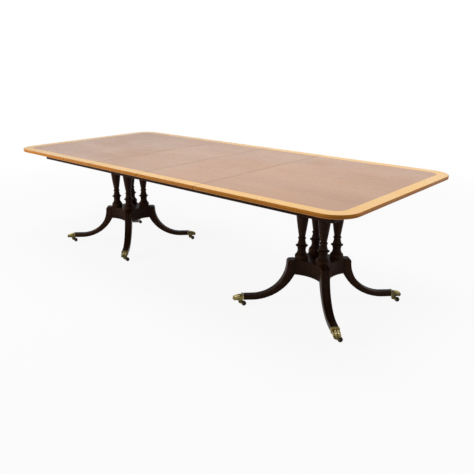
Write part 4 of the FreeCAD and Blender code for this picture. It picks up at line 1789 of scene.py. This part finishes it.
    # Radius of the axle's rivet, and how far it stands out of a cheek
    RIVET_ROWS = ((0.0, 0.0012), (0.0014, 0.0011), (0.0024, 0.0007), (0.0030, 0.0), (0.0024, 0.0))
    # Radius of the wheel's face, and how far it is sunk there
    WHEEL_ROWS = (
        (0.0026, 0.0), (0.0046, 0.0), (0.0050, 0.0003), (0.0053, 0.0012), (0.0085, 0.0012), (0.0089, 0.0003),
        (0.0094, 0.0),
    )
    HUB_SUNK = 0.0004
    # From the tread inwards to where its wear starts and is full, and that wear
    TREAD_EDGES, TREAD_WEAR = (0.0012, 0.0002), 0.7
    # Radius of the hub and of the dished face, and dirt on them and on the rest
    HUB_REACH, DISH_REACH, HUB_DIRT, DISH_DIRT, RIM_DIRT = 0.0052, 0.0092, 0.9, 0.45, 0.05
    # Number of sides of the swivel head, the rivet and the wheel
    RACE_SIDES, RIVET_SIDES, WHEEL_SIDES = 40, 24, 48

    def build(self) -> None:
        """Builds the four feet."""
        axis, make = self.side.axis, self.workshop.make
        cap, fork, wheel = self.collar().joined(self.paw()), self.fork(), self.wheel()
        lean = Matrix.Rotation(math.radians(self.caster_turn), 4, "Z")
        for corner in corners_of(self.side):
            name, tone = corner.name, self.TONES[corner.name]
            # Painted shade: each paw is darkened by its share and loses as much of its painted highlight
            dark = np.maximum(cap.dirt, tone * np.clip(1 - cap.wear, 0, 1))
            paw = replace(cap, wear=cap.wear * (1 - self.TONE_DEPTH * tone), dirt=dark)
            paw = paw.placed(Matrix.Translation(axis) @ corner.turn)
            make(f"{name}_paw", paw, [BRASS], self.side.half, Slot.BRASS, [f"{name}_toe_cap"], self.PAW_SHARP)
            swivel = Matrix.Translation(axis + corner.turn @ Vector((self.caster_reach, 0, 0))) @ lean
            make(f"{name}_fork", fork.placed(swivel), [TARNISH], f"{name}_caster", Slot.BRASS,
                 [f"{name}_caster_fork"])
            make(f"{name}_wheel_disc", wheel.placed(swivel), [TREAD], f"{name}_wheel", Slot.TREAD,
                 [f"{name}_caster_wheel"])

    def collar(self) -> Shape:
        """The collar: two beads with a hollow between them.

        Returns:
            The closed shape along X.
        """
        rings, wear, dirt = [], [], []
        for along, inset in self.COLLAR_ROWS:
            wide, tall = (half - inset for half in self.collar_half)
            ring = superellipse(wide, tall, self.COLLAR_POWER, self.COLLAR_SIDES)
            x = np.full(len(ring), self.collar_back + along)
            rings.append(np.column_stack((x, ring[:, 0], ring[:, 1] + self.collar_middle)))
            rubbed = self.FIRST_WEAR if along < self.FIRST_BEAD else self.SECOND_WEAR
            wear.append(np.full(len(ring), rubbed if inset < self.BEAD_INSET else self.BETWEEN_WEAR))
            gathers = self.DIRT_INSETS[0] < inset < self.DIRT_INSETS[1]
            dirt.append(np.full(len(ring), min(self.DIRT_LIMIT, inset / self.DIRT_DEPTH) if gathers else 0.0))
        return loft(np.array(rings), wear=np.array(wear), dirt=np.array(dirt))

    def paw(self) -> Shape:
        """The paw: a pad, four toes and their claws, cast in one and cut flat below.

        Returns:
            The closed shape along X.
        """
        cast = bmesh.new()
        lumps = list(self.PAD_LUMPS)
        for side, back, drop, share in self.TOE_PLACES:
            for (out, high), size in self.TOE_LUMPS:
                lumps.append(((out + back, side, high - drop), Vector(size) * share))
        for spot, size in lumps:
            middle, radii = Vector(spot) * MILLIMETRE, Vector(size) * MILLIMETRE
            ball = Matrix.Translation(middle) @ Matrix.Diagonal((*radii, 1))
            bmesh.ops.create_icosphere(cast, subdivisions=4, radius=1.0, matrix=ball)
        mesh = bpy.data.meshes.new("paw")
        cast.to_mesh(mesh)
        cast.free()
        piece = linked("paw", mesh)
        skin = piece.modifiers.new("Cast", "REMESH")
        skin.mode, skin.voxel_size = "VOXEL", self.voxel
        fair = piece.modifiers.new("Fair", "SMOOTH")
        fair.factor, fair.iterations = 0.5, 7
        settle(piece)
        solid = bmesh.new()
        solid.from_mesh(piece.data)
        bmesh.ops.bisect_plane(solid, geom=[*solid.verts, *solid.edges, *solid.faces],
                               plane_co=(0, 0, self.paw_low), plane_no=(0, 0, -1), clear_outer=True)
        bmesh.ops.holes_fill(solid, edges=[edge for edge in solid.edges if edge.is_boundary])
        solid.to_mesh(piece.data)
        hollow = hollowness(solid)
        rise = np.array([vertex.normal.z for vertex in solid.verts])
        solid.free()
        return self.rubbed(taken(piece), hollow, rise)

    def rubbed(self, paw: Shape, hollow: np.ndarray, rise: np.ndarray) -> Shape:
        """Paints the tops of a paw's toes bright as wear and a painted highlight, darkens its hollows with
        dirt, paints shade on its sides and darkens its claws.

        Args:
            paw: The paw.
            hollow: How far each vertex lies in a hollow, from -1 to 1.
            rise: How far each vertex faces up, from -1 to 1.

        Returns:
            The paw with its wear, painted highlight, dirt and painted shade.
        """
        out, aside, high = paw.points.T
        # Painted highlight: the toes' upper faces, the more so the more they face up, are brightened beyond
        # their wear
        toes = ramp(out, *self.RUB_OUT) * np.maximum(ramp(out, *self.RUB_BACK), self.RUB_CLAWS)
        toes *= ramp(high, *self.RUB_UP) * (1 - self.RUB_FADE * ramp(np.abs(aside), *self.RUB_ASIDE))
        crest = self.RUB_STRENGTH * (1 - np.clip(hollow, -0.2, 1))
        claws = ramp(high, *self.CLAW_DOWN) * ramp(out, *self.CLAW_OUT)
        # Painted shade on faces turned down, dirt in the hollows, and darker claws
        kinds = (np.clip(hollow, 0, 1), ramp(rise, *self.FACE_DOWN), claws)
        dirt = sum(share * kind for share, kind in zip(self.PAW_DIRT, kinds))
        return replace(paw, wear=ramp(rise, *self.RUB_FACE) * crest * toes, dirt=np.clip(dirt, 0, 1))

    def axle(self) -> Matrix:
        """Brings the vertical onto the axle, from the swivel's own frame."""
        return Matrix.Translation((self.trail, 0, self.wheel_radius)) @ Matrix.Rotation(math.pi / 2, 4, "X")

    def fork(self) -> Shape:
        """A caster fork with its swivel head and riveted axle.

        Returns:
            All of it about the swivel, trailing along X.
        """
        brass = self.workshop.materials[TARNISH.name]
        high = self.paw_low - self.swivel_gap
        head = self.turning.turn([(r, high - d) for r, d in self.RACE_ROWS], self.RACE_SIDES, brass)
        inner = self.wheel_half + self.cheek_gap
        outer = inner + self.cheek
        start, eye = (self.CHEEK_TOP[0], high - self.CHEEK_TOP[1]), (self.trail, self.wheel_radius)
        outline = self.cheek_outline(start, self.CHEEK_RADII[0], eye, self.CHEEK_RADII[1])
        upright = Matrix(((1, 0, 0, 0), (0, 0, 1, 0), (0, 1, 0, 0), (0, 0, 0, 1)))
        arm = slab(outline, inner, outer, *self.CHEEK_EASES).placed(upright)
        rivet = [(r, -outer - d) for r, d in self.RIVET_ROWS]
        rivet += [(r, outer + d) for r, d in reversed(self.RIVET_ROWS)]
        axle = self.turning.turn(rivet, self.RIVET_SIDES, brass).placed(self.axle())
        whole = head.joined(arm.paired(), axle)
        _, aside, height = whole.points.T
        face = np.abs(np.abs(aside) - outer) < self.CHEEK_NEAR
        dirt = self.FLOOR_DIRT * ramp(height, self.DIRT_HIGH, 0.0)
        return replace(whole, wear=np.where(face, self.CHEEK_WEAR, 0.0), dirt=dirt)

    @staticmethod
    def cheek_outline(start: Point, start_radius: float, end: Point, end_radius: float) -> np.ndarray:
        """Side view of a fork's cheek, round at both ends.

        Args:
            start: Middle of the upper end.
            start_radius: Radius there.
            end: Middle of the eye.
            end_radius: Radius there.

        Returns:
            The outline, anticlockwise.
        """
        run = (end[0] - start[0], end[1] - start[1])
        heading = math.degrees(math.atan2(run[1], run[0]))
        lean = math.degrees(math.acos((start_radius - end_radius) / math.hypot(*run)))
        eye = arc(end, end_radius, heading - lean, heading + lean, 14)
        shoulder = arc(start, start_radius, heading + lean, heading + 360 - lean, 18)
        return np.array(eye + shoulder)

    def wheel(self) -> Shape:
        """A wheel with a crowned tread, a dished face and a hub on each side.

        Returns:
            The closed shape on its axle, in the swivel's own frame.
        """
        half, radius, edge = self.wheel_half, self.wheel_radius, self.wheel_round
        side = [(0.0, half - self.HUB_SUNK), *((r, half - sunk) for r, sunk in self.WHEEL_ROWS)]
        side += arc((radius - edge, half - edge), edge, 90, 8, 6)
        profile = [*side, (radius, 0.0), *((r, -y) for r, y in reversed(side))]
        wheel = self.turning.turn(profile, self.WHEEL_SIDES, self.workshop.materials[TREAD.name])
        reach = np.hypot(wheel.points[:, 0], wheel.points[:, 1])
        wear = self.TREAD_WEAR * ramp(reach, *(radius - inwards for inwards in self.TREAD_EDGES))
        dirt = np.where(reach < self.DISH_REACH, self.DISH_DIRT, self.RIM_DIRT)
        dirt = np.where(reach < self.HUB_REACH, self.HUB_DIRT, dirt)
        return replace(wheel.placed(self.axle()), wear=wear, dirt=dirt)


# How deep a vertex lies below its neighbours in a full hollow, and how often the values are evened out
FULL_HOLLOW, EVENINGS = 0.00006, 4


def hollowness(solid: bmesh.types.BMesh) -> np.ndarray:
    """How far each vertex lies in a hollow, from -1 on a crest to 1 in a hollow.

    Args:
        solid: The surface.

    Returns:
        One value for each vertex.
    """
    solid.normal_update()
    solid.verts.ensure_lookup_table()
    value = np.zeros(len(solid.verts))
    for vertex in solid.verts:
        around = [edge.other_vert(vertex).co for edge in vertex.link_edges]
        if around:
            middle = sum(around, Vector()) / len(around)
            value[vertex.index] = (middle - vertex.co).dot(vertex.normal)
    pairs = np.array([[vertex.index for vertex in edge.verts] for edge in solid.edges])
    count = np.bincount(pairs.reshape(-1), minlength=len(value)).clip(1)
    for _ in range(EVENINGS):
        total = np.bincount(pairs[:, 0], value[pairs[:, 1]], len(value))
        total += np.bincount(pairs[:, 1], value[pairs[:, 0]], len(value))
        value = 0.5 * value + 0.5 * total / count
    return np.clip(value / FULL_HOLLOW, -1, 1)


@dataclass
class Studio:
    """White floor, soft light and the camera of the photograph.

    Args:
        eye: Place of the camera.
        yaw: Direction of view about the vertical, in degrees from X.
        pitch: Direction of view above the level, in degrees.
        roll: Turn of the picture, in degrees.
        focal: Focal length in pixels.
        middle: Where the direction of view meets the picture, in pixels.
        ambient: Strength of the light from all round.
        floor_reach: From the middle of the floor to its edges.
        shadow_span: Distances from the middle at which the floor's shadow starts to fade and ends.
        shadow_white: How white the floor is where it keeps the shadow.
    """

    eye: Rgb = (2.4541, -2.5508, 1.3929)
    yaw: float = 131.489
    pitch: float = -14.419
    roll: float = 0.059
    focal: float = 556.64
    middle: Point = (233.35, 197.47)
    ambient: float = 0.22
    floor_reach: float = 30.0
    shadow_span: Point = (1.6, 4.5)
    shadow_white: float = 0.91

    # Name, place, what it faces, length of its sides and power in watts of each lamp
    LAMPS = (
        ("left box", (-2.7, -3.4, 1.0), (0.0, 0.0, 0.6), 1.7, 122.0),
        ("right box", (3.9, 1.5, 1.05), (0.0, 0.0, 0.6), 1.8, 27.0),
        ("overhead", (0.65, 0.0, 3.4), (0.65, 0.0, 0.0), 2.4, 60.0),
    )
    WHITE, FLOOR_GREY = (1.0, 1.0, 1.0, 1.0), (0.86, 0.86, 0.86, 1.0)

    def build(self) -> None:
        """Builds the floor, the light and the camera."""
        bpy.context.scene.view_settings.view_transform = "Standard"
        self.camera()
        self.world()
        self.floor()
        self.lamps()

    def camera(self) -> None:
        """Sets up the camera."""
        yaw, pitch = math.radians(self.yaw), math.radians(self.pitch)
        ahead = Vector((math.cos(pitch) * math.cos(yaw), math.cos(pitch) * math.sin(yaw), math.sin(pitch)))
        right = Vector((math.sin(yaw), -math.cos(yaw), 0.0))
        turn = Matrix((right, right.cross(ahead), -ahead)).transposed().to_4x4()
        data = bpy.data.cameras.new("camera")
        data.sensor_width = 36.0
        data.lens = self.focal * data.sensor_width / IMAGE_SIZE
        data.shift_x = (IMAGE_SIZE / 2 - self.middle[0]) / IMAGE_SIZE
        data.shift_y = (self.middle[1] - IMAGE_SIZE / 2) / IMAGE_SIZE
        camera = linked("camera", data)
        roll = Matrix.Rotation(math.radians(self.roll), 4, "Z")
        camera.matrix_world = Matrix.Translation(self.eye) @ turn @ roll
        bpy.context.scene.camera = camera

    @staticmethod
    def seen(tree: Tree) -> Socket:
        """Picks out the rays by which the background is seen, also in metal or glass.

        Args:
            tree: The tree that asks.

        Returns:
            A socket that is 1 for these rays and 0 for others.
        """
        path = tree.add("ShaderNodeLightPath").outputs
        either = tree.math("MAXIMUM", path["Is Camera Ray"], path["Is Glossy Ray"])
        return tree.math("MAXIMUM", either, path["Is Transmission Ray"])

    def world(self) -> None:
        """Makes a white background with a plain level of light."""
        world = bpy.data.worlds.new("studio")
        tree = emptied(world)
        lit, shown = (
            tree.add("ShaderNodeBackground", {"Color": self.WHITE, "Strength": strength}).outputs[0]
            for strength in (self.ambient, 1.0)
        )
        mixed = tree.add("ShaderNodeMixShader", {0: self.seen(tree), 1: lit, 2: shown})
        tree.add("ShaderNodeOutputWorld", {"Surface": mixed.outputs[0]})
        bpy.context.scene.world = world

    def floor(self) -> None:
        """Makes a plain pale floor that keeps the table's shadow."""
        made = bpy.data.materials.new("floor")
        tree = emptied(made)
        matt = tree.add("ShaderNodeBsdfDiffuse", {"Color": self.FLOOR_GREY})
        white = tree.add("ShaderNodeEmission", {"Color": self.WHITE, "Strength": 1.0})
        place = tree.add("ShaderNodeTexCoord").outputs["Object"]
        away = tree.add("ShaderNodeVectorMath", {0: place}, operation="LENGTH").outputs["Value"]
        fading = tree.remap(away, self.shadow_span, (self.shadow_white, 1.0))
        share = tree.math("MULTIPLY", self.seen(tree), fading)
        mixed = tree.add("ShaderNodeMixShader", {0: share, 1: matt.outputs[0], 2: white.outputs[0]})
        tree.add("ShaderNodeOutputMaterial", {"Surface": mixed.outputs[0]})
        mesh = bpy.data.meshes.new("floor")
        reach = self.floor_reach
        corners = rectangle((-reach, -reach), (reach, reach))
        mesh.from_pydata([(*corner, 0.0) for corner in corners.tolist()], [], [(0, 1, 2, 3)])
        mesh.materials.append(made)
        plane = linked("floor", mesh)

    def lamps(self) -> None:
        """Hangs the soft lamps, which aren't mirrored in the polish."""
        for name, spot, target, size, power in self.LAMPS:
            data = bpy.data.lights.new(name, "AREA")
            data.size, data.energy = size, power
            lamp = linked(name, data)
            lamp.location = spot
            lamp.rotation_euler = (Vector(target) - Vector(spot)).to_track_quat("-Z", "Y").to_euler()
            lamp.visible_glossy = False


def main() -> None:
    """Builds the table and its studio."""
    logging.basicConfig(level=logging.INFO, format="%(name)s: %(message)s")
    Studio().build()
    workshop, turning, screws = Workshop(), Turning(), Screws()
    TableTop(workshop).build()
    Underframe(workshop, screws).build()
    for side in Side:
        Pedestal(workshop, turning, side).build()
        Feet(workshop, turning, side).build()


if __name__ == "__main__":
    main()
